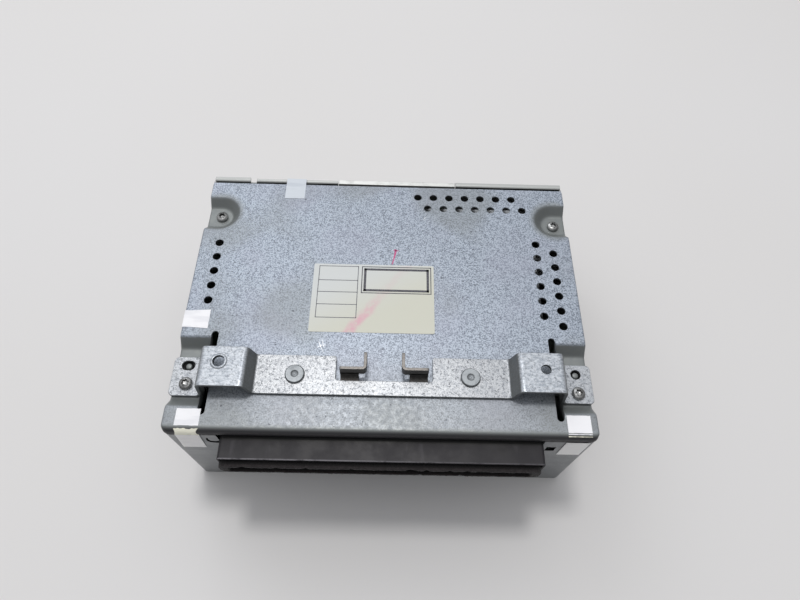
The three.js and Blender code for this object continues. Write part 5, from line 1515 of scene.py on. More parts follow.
@dataclass
class MountingBracket:
    """The bent strip across the front, its raised pads, its side tabs and the two hooks folded up from it.

    S(u, v) = (x(u), v, z(u)), where x and z follow the rounded section of the strip seen from the front.
    """

    sheet: float = 1.5
    near: float = -49.5
    far: float = -31.6
    waist_middle: float = 0.6
    waist_half: float = 20.8
    waist_far: float = -42.9
    waist_radius: float = 1.1
    strip_top: float = 68.6
    pad_top: float = 76.3
    tab_top: float = 63.9
    tab_end: float = 91.45
    bend: float = 0.9
    outer_bend: float = 2.4
    bow: float = 0.05
    left_pad_hole: Spot = (-68.5, -38.6)
    right_pad_hole: Spot = (68.6, -39.2)
    burr_radius: float = 2.55
    right_radius: float = 2.1
    stud_hole: float = 2.15
    left_stud_slot: float = 0.7
    screw_hole: float = 1.65
    rivet_hole: float = 2.2
    hook_sheet: float = 1.3
    hook_front: float = -41.1
    hook_back: float = -33.0
    foot_near: float = -44.4
    foot_level: float = 68.62
    foot_top: float = 72.9
    foot_bend: float = 1.4
    foot_inner: float = 10.8
    wall_inner: float = 7.35
    wall_outer: float = 18.7
    wall_low: float = 71.6
    wall_high: float = 76.6
    wall_bend: float = 1.8
    track: Track = field(init=False)

    def __post_init__(self) -> None:
        """Draws the section from the left tab to the right one."""
        right = [(54.6, self.strip_top), (57.2, self.pad_top), (76.9, self.pad_top), (78.1, self.tab_top)]
        right.append((self.tab_end, self.tab_top))
        left = [(-x, z) for x, z in reversed(right)]
        self.track = Track([*left, *right], self.bend, self.outer_bend)

    def place(self, net: np.ndarray) -> np.ndarray:
        """Returns S(u, v) for rows of u and v, with the faintest bow in the strip.

        Args:
            net: rows of u and v.

        Returns:
            One point in space per row.
        """
        section = self.track.at(net[:, 0])
        bow = self.bow * np.cos(section[:, 0] / 30.0) * (np.abs(section[:, 0]) < 50)
        return np.stack([section[:, 0], net[:, 1], section[:, 1] + bow], 1)

    def outline(self) -> np.ndarray:
        """Returns the flat strip's outline, with the waist cut into its far side between the hooks.

        Returns:
            Points of the flat outline.
        """
        run = self.track.run_at
        right, left = run(self.waist_middle + self.waist_half), run(self.waist_middle - self.waist_half)
        cut = [(right + 3, self.far), (right, self.far), (right, self.waist_far)]
        cut += [(left, self.waist_far), (left, self.far), (left - 3, self.far)]
        corners = rounded_box(run(-self.tab_end), run(self.tab_end), self.near, self.far, 2.0)
        half = len(corners) // 2
        return np.concatenate([corners[:half], bent_path(cut, self.waist_radius, 4), corners[half:]])

    def holes(self) -> list[Hole]:
        """Lists the holes in the pads, and those for the studs, screws and rivets; the left stud's is long.

        Returns:
            The holes on the flat strip.
        """
        run, ((left_x, left_y), (right_x, right_y)) = self.track.run_at, STUDS
        slot = (run(left_x) - self.left_stud_slot, left_y, run(left_x) + self.left_stud_slot, left_y)
        spots = [(self.left_pad_hole, self.burr_radius), (self.right_pad_hole, self.right_radius)]
        found = [Hole.round(run(x), y, radius) for (x, y), radius in spots]
        found += [Hole(*slot, self.stud_hole), Hole.round(run(right_x), right_y, self.stud_hole)]
        found += [Hole.round(run(x), y, self.screw_hole) for x, y in BRACKET_SCREWS]
        return found + [Hole.round(run(x), y, self.rivet_hole) for x, y in RIVETS]

    def strip(self) -> None:
        """Cuts and bends the strip, with more points where it bends."""
        fine = np.arange(0, self.track.length, 0.45)
        bending = np.abs(np.abs(self.track.at(fine)[:, 0]) - 66.5) < 14.5
        steps = np.concatenate([fine[bending], np.arange(0.5, self.track.length, 3.0)])
        fill = lattice(np.unique(np.round(steps, 2)), np.arange(self.near + 1.0, self.far, 2.2))
        net, faces = flat_net(split_outline(self.outline(), 2.0), self.holes(), fill, 0.4, ring=0.45)
        points, triangles = thick_sheet(self.place, net, faces, self.sheet)
        part = Part("bracket_strip", points, [triangles], Surface.BRACKET, "zinc_bracket", bevel=0.2)
        part.replaces = ["mounting_bracket"]
        part.build()

    def collar(self) -> None:
        """Turns the raised burr round the left pad's hole."""
        ring = [(3.6, -0.6), (3.6, -0.02), (3.5, 0.08), (3.05, 0.32), (2.75, 0.38), (2.56, 0.3), (2.56, -0.6)]
        points, faces = turned(np.array(ring))
        points += (*self.left_pad_hole, self.pad_top)
        Part("bracket_burr", points, [faces], Surface.BRACKET, "zinc_bracket", sharp=60).build()

    def hook(self, side: int) -> None:
        """Folds one hook: a foot that turns up from the strip, and a wall that turns back at its inner end.

        Args:
            side: -1 for the left hook and 1 for the right one.
        """
        outer = self.waist_middle + side * self.wall_outer
        inner = self.waist_middle + side * self.wall_inner
        front, level = self.hook_front, self.foot_level
        foot = Track([(self.foot_near, level), (front, level), (front, self.foot_top)], self.foot_bend)
        wall = Track([(outer, front), (inner, front), (inner, self.hook_back)], self.wall_bend)

        def foot_place(net: np.ndarray) -> np.ndarray:
            """The foot's section in Y and Z, carried along X."""
            section = foot.at(net[:, 0])
            return np.stack([net[:, 1], section[:, 0], section[:, 1]], 1)

        def wall_place(net: np.ndarray) -> np.ndarray:
            """The wall's plan, carried along Z."""
            plan = wall.at(net[:, 0])
            return np.stack([plan[:, 0], plan[:, 1], net[:, 1]], 1)

        low, high = sorted((self.waist_middle + side * self.foot_inner, outer))
        pieces = [
            self.folded(foot_place, foot.length, low, high, -1),
            self.folded(wall_place, wall.length, self.wall_low, self.wall_high, -side),
        ]
        name = "bracket_hook_right" if side > 0 else "bracket_hook_left"
        Part(name, *joined(pieces), Surface.HOOK, "zinc_bracket", bevel=0.12).build()

    def folded(self, place: Mapped, length: float, low: float, high: float, side: int) -> Net:
        """Cuts one leaf of a hook and gives it its thickness.

        Args:
            place: the map from the flat leaf to space.
            length: the leaf's length along its track.
            low: where its width starts.
            high: where its width ends.
            side: 1 where the thickness lies behind the surface and -1 where it lies ahead.

        Returns:
            Points and triangles of the closed leaf.
        """
        outline = split_outline(rounded_box(0, length, low, high, 0.5, 3), 1.2)
        fill = lattice(np.arange(0.3, length, 0.4), np.arange(low + 0.6, high, 1.2))
        net, faces = flat_net(outline, [], fill, 0.25)
        return facing(*thick_sheet(place, net, faces, side * self.hook_sheet), side)

    def build(self) -> None:
        """Builds the strip, the burr and both hooks."""
        self.strip()
        self.collar()
        for side in (-1, 1):
            self.hook(side)


@dataclass
class PanScrew:
    """A low pan-head screw with a six-lobed recess and a cut thread.

    In the recess, r is multiplied by 1 + lobe * cos(6 t). On the shank, r grows by a triangle wave of
    z / pitch - t.
    """

    name: str
    spot: tuple[float, float, float]
    flipped: bool = False
    turn: float = 0.0
    head_radius: float = 2.9
    head_height: float = 1.9
    edge_height: float = 0.7
    recess_radius: float = 1.3
    recess_depth: float = 1.1
    recess_shade: float = 0.85
    shank_radius: float = 1.28
    shank_length: float = 5.0
    pitch: float = 0.7
    thread_depth: float = 0.12
    lobe: float = 0.13
    count: int = 48

    def profile(self) -> np.ndarray:
        """Returns radius and height from the tip up the shank, over the head and down into the recess.

        Returns:
            One ring per row.
        """
        shank = [(0.0, -self.shank_length), (self.shank_radius * 0.6, -self.shank_length)]
        heights = np.linspace(-self.shank_length + 0.3, -0.15, 30)
        thread = [(self.shank_radius, height) for height in heights]
        wide, rim, narrow = self.head_radius, self.head_height, self.recess_radius
        edge = [(wide - 0.15, 0.0), (wide, 0.12), (wide, self.edge_height - 0.1)]
        rise = rim - self.edge_height
        dome = [
            (wide * math.cos(a * 1.1), min(self.edge_height + rise * math.sin(a * 1.1) / 0.95, rim))
            for a in np.linspace(0.12, 1.0, 9)
        ]
        dome = [(r, z) for r, z in dome if r > narrow + 0.12]
        floor = rim - self.recess_depth
        bore = [(narrow + 0.1, rim), (narrow, rim - 0.08), (narrow * 0.97, floor)]
        floor_rings = [(narrow * 0.5, floor - 0.05), (0.0, floor - 0.2)]
        return np.array([*shank, *thread, *edge, *dome, *bore, *floor_rings])

    def shaped(self, radius: np.ndarray, height: np.ndarray, angle: np.ndarray) -> np.ndarray:
        """Returns the radii with the lobes in the recess and the thread on the shank.

        Args:
            radius: radii of the rings.
            height: their heights.
            angle: angles round them.

        Returns:
            One radius per point.
        """
        inner = (height > 0.3) & (radius < self.recess_radius + 0.2)
        lobed = radius * (1 + self.lobe * np.cos(6 * angle))
        wave = triangle_wave(height / self.pitch - angle / (2 * math.pi))
        threaded = radius + self.thread_depth * (wave - 0.5) * 2
        shank = (height < -0.2) & (radius > self.shank_radius * 0.9)
        return np.where(inner, lobed, np.where(shank, threaded, radius))

    def build(self) -> None:
        """Turns the screw, seats it and lets it replace its solid."""
        profile = self.profile()
        radius, height = profile.T
        points, faces = turned(profile, self.count, self.shaped)
        deep = (height < self.head_height - 0.1) & (height > 0)
        wall = deep & (radius < self.recess_radius) & (radius > 0.8 * self.recess_radius)
        cosine, sine = math.cos(self.turn), math.sin(self.turn)
        points = points @ np.array([[cosine, sine, 0], [-sine, cosine, 0], [0, 0, 1]])
        if self.flipped:
            points = points * (1, -1, -1)
        points = points + self.spot
        part = Part(f"{self.name}_turned", points, [faces], Surface.SCREW, "bright_steel", sharp=42)
        part.replaces = [self.name]
        part.shade = np.repeat(np.where(wall, self.recess_shade, 0.0), self.count)
        part.build()


@dataclass
class StripRivet:
    """A flat aluminium rivet with a rolled edge, faint turning rings and a dished middle."""

    name: str
    spot: Spot
    seat: float = 68.7
    tail_level: float = 65.9
    radius: float = 4.25
    height: float = 1.0
    count: int = 64

    def profile(self) -> np.ndarray:
        """Returns radius and height from the tail under the cover to the head's middle on the strip.

        Returns:
            One ring per row.
        """
        under, wide, top = self.tail_level - self.seat, self.radius, self.height
        tail = [(0.0, under - 0.7), (2.9, under - 0.7), (3.3, under - 0.5), (3.3, under - 0.05), (3.2, under)]
        shank = [(1.9, under), (1.9, 0.0)]
        head = [(wide - 0.1, 0.0), (wide, 0.12), (wide, 0.55), (wide - 0.18, 0.85)]
        face = [(r, top - 0.04 * (i % 2)) for i, r in enumerate(np.linspace(wide - 0.45, 1.8, 14))]
        dish = [(1.6, top), (1.35, top - 0.14), (0.9, top - 0.34), (0.45, top - 0.45)]
        centre = [(0.3, top - 0.36), (0.0, top - 0.3)]
        return np.array([*tail, *shank, *head, *face, *dish, *centre])

    def build(self) -> None:
        """Turns the rivet and shades its rim and the groove round its dish."""
        profile = self.profile()
        radius, height = profile.T
        points, faces = turned(profile, self.count)
        rim = (radius > self.radius - 0.3) & (height > -0.1)
        groove = (np.abs(radius - 1.5) < 0.2) & (height > 0)
        shade = np.where(rim, 0.5, 0.0) + np.where(groove, 0.45, 0.0)
        points += (*self.spot, self.seat)
        part = Part(f"{self.name}_turned", points, [faces], Surface.RIVET, "bright_steel", sharp=30)
        part.replaces, part.shade = [self.name], np.repeat(shade, self.count)
        part.build()


@dataclass
class SlotFoam:
    """The crumbling foam ring round the disc slot: an oval section carried round a rounded rectangle.

    P(t, s) = C(t) + N(t) w(t) c(s) + Y d(s), pushed in by lattice noise of three sizes.
    """

    left: float = -67.4
    right: float = 67.4
    low: float = 49.6
    high: float = 58.9
    open_half: float = 62.6
    open_low: float = 52.25
    open_high: float = 57.05
    front: float = -78.1
    back: float = -74.35
    corner_radius: float = 2.6
    step: float = 0.29
    around: int = 30
    squareness: float = 0.4
    fill: float = 0.35

    def ring(self) -> tuple[np.ndarray, np.ndarray, np.ndarray]:
        """Returns the ring's middle line, its outward directions and its half widths.

        Returns:
            One row of each per point of the line.
        """
        ends = ((self.left - self.open_half) / 2, (self.right + self.open_half) / 2)
        heights = ((self.low + self.open_low) / 2, (self.high + self.open_high) / 2)
        line = split_outline(rounded_box(*ends, *heights, self.corner_radius, 10), self.step)
        step = np.roll(line, -1, axis=0) - np.roll(line, 1, axis=0)
        step /= np.linalg.norm(step, axis=1, keepdims=True)
        outward = np.stack([step[:, 1], -step[:, 0]], 1)
        sideways = np.abs(outward[:, 0])
        strip = (self.high - self.open_high) / 2
        end = np.where(line[:, 0] > 0, (self.right - self.open_half) / 2, (-self.left - self.open_half) / 2)
        return line, outward, strip + (end - strip) * sideways

    def build(self) -> None:
        line, outward, wide = self.ring()
        angle = np.linspace(0, 2 * math.pi, self.around, endpoint=False)
        waves = np.cos(angle), np.sin(angle)
        across, deep = (np.sign(wave) * np.abs(wave) ** self.squareness for wave in waves)
        middle, reach = (self.front + self.back) / 2, (self.back - self.front) / 2
        flat = line[:, None, :] + outward[:, None, :] * (wide[:, None] * across[None, :])[..., None]
        depth = np.broadcast_to(middle + reach * deep, flat.shape[:2])
        points = np.stack([flat[..., 0], depth, flat[..., 1]], -1).reshape(-1, 3)
        heart = np.stack([line[:, 0], np.full(len(line), middle), line[:, 1]], 1)
        heart = np.repeat(heart, self.around, axis=0)
        bite = np.clip(value_noise(points, 2.4, 3) - 0.66, 0, 1) * 1.2
        crumb = value_noise(points, 0.9, 5) * 0.14 + value_noise(points, 0.45, 7) * 0.1
        ahead = np.clip((middle - points[:, 1]) / reach + 0.35, 0.12, 1.0)
        points = points + (heart - points) * np.clip((bite + crumb) * ahead, 0, 0.6)[:, None]
        quads = grid_faces(len(line) + 1, self.around, wrap=True) % len(points)
        part = Part("foam_ring", points, [quads[:, ::-1]], Surface.FOAM, "black_foam", sharp=180)
        part.replaces = ["slot_foam"]
        part.build()


@dataclass
class InfoLabel:
    """A blank ruled label: a thin sheet with a slightly lifted corner, and rules as thin strips of ink."""

    left: float = -34.1
    right: float = 22.7
    near: float = -19.3
    far: float = 17.0
    lift: float = 0.04
    thickness: float = 0.09
    curl: float = 0.25
    curl_reach: Spot = (9.0, 7.0)
    thin_line: float = 0.34
    outer_line: float = 0.42
    inner_line: float = 1.15
    inner_inset: float = 1.45
    table_rows: Sequence[float] = (1.2, 9.0, 15.4, 22.0, 28.9)
    table_sides: Band = (2.6, 21.0)

    def place(self, net: np.ndarray) -> np.ndarray:
        """Returns the paper's top: flat but for the near right corner's lift, which grows with the square.

        Args:
            net: rows of u and v.

        Returns:
            One point in space per row.
        """
        wide, deep = self.curl_reach
        right = np.clip((net[:, 0] - self.right + wide) / wide, 0, 1)
        corner = right * np.clip((self.near + deep - net[:, 1]) / deep, 0, 1)
        height = TOP + self.lift + self.thickness + self.curl * corner**2
        return np.stack([net[:, 0], net[:, 1], height], 1)

    def rule(self, x0: float, y0: float, x1: float, y1: float, wide: float) -> Net:
        """Returns one strip of ink along a line, as a thin closed bar just above the paper.

        Args:
            x0: X of its start.
            y0: Y of its start.
            x1: X of its end.
            y1: Y of its end.
            wide: its width.

        Returns:
            Its points and faces.
        """
        run = np.array([x1 - x0, y1 - y0])
        run /= np.linalg.norm(run)
        side = np.array([-run[1], run[0]]) * wide / 2
        start, end = np.array([x0, y0]) - run * wide / 2, np.array([x1, y1]) + run * wide / 2
        flat = np.stack([start - side, end - side, end + side, start + side])
        upper = self.place(flat) + (0, 0, 0.03)
        lower = self.place(flat) + (0, 0, 0.002)
        faces = [(0, 1, 2, 3), (7, 6, 5, 4), (0, 4, 5, 1), (1, 5, 6, 2), (2, 6, 7, 3), (3, 7, 4, 0)]
        return np.concatenate([upper, lower]), np.array(faces)

    def rules(self, name: str, lines: Sequence[tuple[float, ...]], surface: Surface) -> None:
        """Joins several strips of ink into one piece."""
        points, faces = joined([self.rule(*line) for line in lines])
        Part(name, points, faces, surface, "label_paper", weld=0.0).build()

    def box(self, x0: float, x1: float, y0: float, y1: float, wide: float) -> list[tuple[float, ...]]:
        """Returns the four lines of a ruled box."""
        corners = [(x0, y0), (x1, y0), (x1, y1), (x0, y1)]
        return [(*corners[i], *corners[(i + 1) % 4], wide) for i in range(4)]

    def build(self) -> None:
        """Lays the paper, the ruled table at its left and the double frame at its upper right."""
        outline = split_outline(rounded_box(self.left, self.right, self.near, self.far, 0.8), 2.0)
        fill = lattice(np.arange(self.left, self.right, 2.0), np.arange(self.near, self.far, 2.0))
        net, faces = flat_net(outline, [], fill)
        points, triangles = thick_sheet(self.place, net, faces, self.thickness)
        replaced = ["info_label"]
        Part("label_sheet", points, [triangles], Surface.LABEL, "label_paper", replaces=replaced).build()
        left, right = (self.left + reach for reach in self.table_sides)
        rows = [self.far - drop for drop in self.table_rows]
        table = [(left, y, right, y, self.thin_line) for y in rows]
        table += [(x, rows[0], x, rows[-1], self.thin_line) for x in (left, right)]
        self.rules("label_table", table, Surface.RULES)
        x0, x1, y0, y1 = self.left + 22.9, self.right - 1.4, self.far - 15.6, self.far - 1.2
        self.rules("label_frame_outer", self.box(x0, x1, y0, y1, self.outer_line), Surface.FRAME_INK)
        inset = self.inner_inset
        inner = self.box(x0 + inset, x1 - inset, y0 + inset, y1 - inset, self.inner_line)
        self.rules("label_frame_inner", inner, Surface.FRAME_INK)


@dataclass
class PaperSeal:
    """A seal that follows a rounded track over an edge: S(u, v) = track(u), carried by v across its plane.

    The track's plane holds Y and Z where along_y is true, else X and Z. Short of lean_from along the track,
    the seal leans sideways by lean for every millimetre.
    """

    name: str
    solid: str
    track: Track
    across: Band
    along_y: bool
    spans: Sequence[tuple[float, float, Surface]]
    side: int = 1
    lean: float = 0.0
    lean_from: float = 15.0
    thickness: float = 0.08
    crease: float = 0.015
    tear: float = 0.16
    torn_tear: float = 5.0

    def place(self, net: np.ndarray) -> np.ndarray:
        """Returns S(u, v), with a crease of a few hundredths of a millimetre.

        Args:
            net: rows of u and v.

        Returns:
            One point in space per row.
        """
        section = self.track.at(net[:, 0])
        height = section[:, 1] + self.crease * np.sin(net[:, 0] * 1.9 + net[:, 1] * 0.6)
        if self.along_y:
            leant = net[:, 1] - self.lean * np.clip(self.lean_from - net[:, 0], 0, None)
            return np.stack([leant, section[:, 0], height], 1)
        return np.stack([section[:, 0], net[:, 1], height], 1)

    def build(self) -> None:
        """Cuts each span of the seal with slightly torn ends; the first span replaces the solid."""
        low, high = self.across
        steps = np.arange(low, high + 1e-6, 0.5)
        for number, (start, end, surface) in enumerate(self.spans):
            spots = np.stack([steps, steps * 0, steps * 0 + number], 1)
            torn = self.tear * (value_noise(spots, 0.8, 11 + number) - 0.5)
            torn *= self.torn_tear if surface is Surface.SEAL_TORN and end - start > 1 else 1.0
            lower, upper = np.stack([start + torn, steps], 1), np.stack([end - torn, steps], 1)
            fill = lattice(np.arange(start, end, 0.6), np.arange(low + 0.5, high, 1.4))
            net, faces = flat_net(np.concatenate([lower[::-1], upper])[::-1], [], fill, 0.2)
            sheet = thick_sheet(self.place, net, faces, self.side * self.thickness)
            points, faces = facing(*sheet, self.side)
            name = self.name if number == 0 else f"{self.name}_{number + 1}"
            replaces = [self.solid] if number == 0 else []
            Part(name, points, [faces], surface, "seal_paper", replaces=replaces, sharp=50).build()


@dataclass
class CoverMarks:
    """Hand marks on the cover: a pink pen stroke above the label and a few scratches, each a thin ribbon.

    P(t, s) = line(t) + s * width(t) * normal, a few hundredths of a millimetre above the sheet.
    """

    lift: float = 0.035
    thickness: float = 0.03
    scratch_widths: Sequence[float] = (0.1, 0.24, 0.08)

    def ribbon(self, line: Sequence[Spot], widths: Sequence[float]) -> Net:
        """Returns a ribbon along a line of points with a width at each.

        Args:
            line: points of its middle line.
            widths: its width at each.

        Returns:
            Its points and faces.
        """
        spots = np.asarray(line, float)
        step = np.gradient(spots, axis=0)
        step /= np.linalg.norm(step, axis=1, keepdims=True)
        side = np.stack([-step[:, 1], step[:, 0]], 1) * np.asarray(widths)[:, None] / 2
        flat = np.concatenate([spots - side, spots + side])
        upper = np.concatenate([flat, np.full((len(flat), 1), TOP + self.lift)], 1)
        lower = upper - (0, 0, self.thickness)
        count = len(spots)
        strip = grid_faces(2, count)
        edge = np.concatenate([np.arange(count), np.arange(2 * count - 1, count - 1, -1)])
        after = np.roll(edge, -1)
        rim = np.stack([edge, after, after + 2 * count, edge + 2 * count], 1)
        faces = np.concatenate([strip[:, ::-1], strip + 2 * count, rim[:, ::-1]])
        return np.concatenate([upper, lower]), faces

    def build(self) -> None:
        """Draws the pen stroke and the scratches."""
        head = self.ribbon([(3.4, 25.7), (4.4, 26.0), (5.8, 25.4)], [0.5, 0.8, 0.4])
        tail = self.ribbon([(4.6, 26.0), (4.2, 23.6), (3.6, 20.6), (2.9, 17.6)], [0.95, 0.8, 0.6, 0.45])
        lines = [
            [(-28.9, -24.0), (-28.0, -26.3), (-26.4, -29.4)],
            [(-27.3, -23.2), (-26.9, -25.2), (-26.4, -27.2)],
            [(-29.6, -27.4), (-28.0, -26.0), (-25.3, -25.6)],
            [(18.0, 44.6), (18.9, 45.9), (19.5, 46.6)],
        ]
        marks = [self.ribbon(line, self.scratch_widths) for line in lines]
        for name, ribbons, surface in (
            ("pen_stroke", [head, tail], Surface.PINK_INK),
            ("bright_scratches", marks, Surface.SCRATCH),
        ):
            Part(name, *joined(ribbons), surface, "case_sheet", weld=0.0).build()


@dataclass
class FeedScrew:
    """The pickup's feed screw: its radius loses depth where a triangle wave of x / pitch - t is high."""

    radius: float = 1.22
    depth: float = 0.2
    pitch: float = 3.0
    groove_from: float = 0.55
    start: float = 10.8
    end: float = 71.6
    y: float = 23.5
    z: float = 47.0

    def build(self) -> None:
        """Carries the threaded ring along the screw and closes both ends."""
        x = np.concatenate([[self.start], np.arange(self.start, self.end, 0.3), [self.end, self.end]])
        angle = np.linspace(0, 2 * math.pi, 28, endpoint=False)
        wave = triangle_wave(x[:, None] / self.pitch - angle[None, :] / (2 * math.pi))
        radius = self.radius - self.depth * (wave > self.groove_from)
        radius[[0, -1]] = 0.0
        y = self.y + radius * np.cos(angle)
        z = self.z + radius * np.sin(angle)
        points = np.stack([np.broadcast_to(x[:, None], y.shape), y, z], -1).reshape(-1, 3)
        faces = grid_faces(len(x), len(angle), wrap=True)
        part = Part("feed_screw_thread", points, [faces], Surface.STEEL, "bright_steel", body="feed_screw")
        part.replaces, part.sharp = ["feed_screw"], 30
        part.build()


@dataclass
class CarriedSolids:
    """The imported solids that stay: each gets its finish, and bends that show facets are shaded smooth."""

    finishes: Sequence[tuple[Surface, str]] = (
        (Surface.WALLS, "case_walls bottom_cover"),
        (Surface.BACK, "back_panel"),
        (Surface.CASTING, "heat_sink laser_sled"),
        (Surface.NOSE, "slot_nose"),
        (Surface.BLACK, "slot_shutter amplifier_chip main_connector disc_guide turntable clamp_wheel"),
        (Surface.BOARD, "main_board"),
        (Surface.TINPLATE, "tuner_can processor_shield drive_frame drive_lid drive_deck clamp_arm"),
        (Surface.SLEEVE, "power_capacitor_left power_capacitor_right"),
        (Surface.GREY, "network_connector"),
        (Surface.PALE, "aerial_socket_left aerial_socket_right ribbon_socket roller_wheel idler_wheel"),
        (Surface.FILM, "drive_ribbon"),
        (Surface.RUBBER, "loading_roller rubber_damper_1 rubber_damper_2 rubber_damper_3 rubber_damper_4"),
        (Surface.STEEL, "motor_pinion loading_motor spindle_motor feed_motor"),
        (Surface.STEEL, "guide_rail_front guide_rail_back"),
        (Surface.LENS, "objective_lens"),
    )
    rounded: Sequence[tuple[str, float]] = (
        ("slot_nose", 0.25),
        ("slot_shutter", 0.2),
        ("heat_sink", 0.25),
        ("main_connector", 0.2),
    )
    facet_angle: float = 35.0
    weld: float = 0.002

    def smoothing(self) -> bpy.types.NodeTree:
        """Builds the modifier that welds loose triangles and shades shallow edges smooth.

        Returns:
            The geometry node group.
        """
        tree = bpy.data.node_groups.new("smooth_bends", "GeometryNodeTree")
        for way in ("INPUT", "OUTPUT"):
            tree.interface.new_socket("Geometry", in_out=way, socket_type="NodeSocketGeometry")
        add, link = tree.nodes.new, tree.links.new
        weld = add("GeometryNodeMergeByDistance")
        weld.inputs["Distance"].default_value = self.weld * MM
        clear = add("GeometryNodeRemoveAttribute")
        clear.inputs["Name"].default_value = "custom_normal"
        faces, edges = add("GeometryNodeSetShadeSmooth"), add("GeometryNodeSetShadeSmooth")
        edges.domain = "EDGE"
        angle, less = add("GeometryNodeInputMeshEdgeAngle"), add("FunctionNodeCompare")
        less.operation = "LESS_THAN"
        less.inputs["B"].default_value = math.radians(self.facet_angle)
        link(add("NodeGroupInput").outputs[0], weld.inputs["Geometry"])
        link(weld.outputs[0], clear.inputs["Geometry"])
        link(clear.outputs[0], faces.inputs["Geometry"])
        link(faces.outputs[0], edges.inputs["Geometry"])
        link(angle.outputs["Unsigned Angle"], less.inputs["A"])
        link(less.outputs[0], edges.inputs["Shade Smooth"])
        link(edges.outputs[0], add("NodeGroupOutput").inputs[0])
        return tree

    def build(self) -> None:
        """Gives every carried solid its finish and its smoothing, and some of them rounded edges."""
        tree = self.smoothing()
        for surface, names in self.finishes:
            for name in names.split():
                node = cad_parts[name]
                node.data.materials.clear()
                node.data.materials.append(surface.value.material())
                node.modifiers.new("smooth_bends", "NODES").node_group = tree
                LOG.info("solid %s: %s", name, surface.value.name)
        for name, width in self.rounded:
            round_edges(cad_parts[name], width)


@dataclass(frozen=True)
class Lamp:
    """A square soft lamp that faces the radio: its place and size are in metres."""

    name: str
    place: tuple[float, float, float]
    size: float
    watts: float
    colour: Colour

    def hang(self) -> None:
        """Puts the lamp into the scene."""
        data = bpy.data.lights.new(self.name, "AREA")
        data.size, data.energy, data.color = self.size, self.watts, self.colour[:3]
        lamp = bpy.data.objects.new(self.name, data)
        lamp.location = self.place
        lamp.rotation_euler = (-Vector(self.place)).to_track_quat("-Z", "Y").to_euler()
        bpy.context.scene.collection.objects.link(lamp)


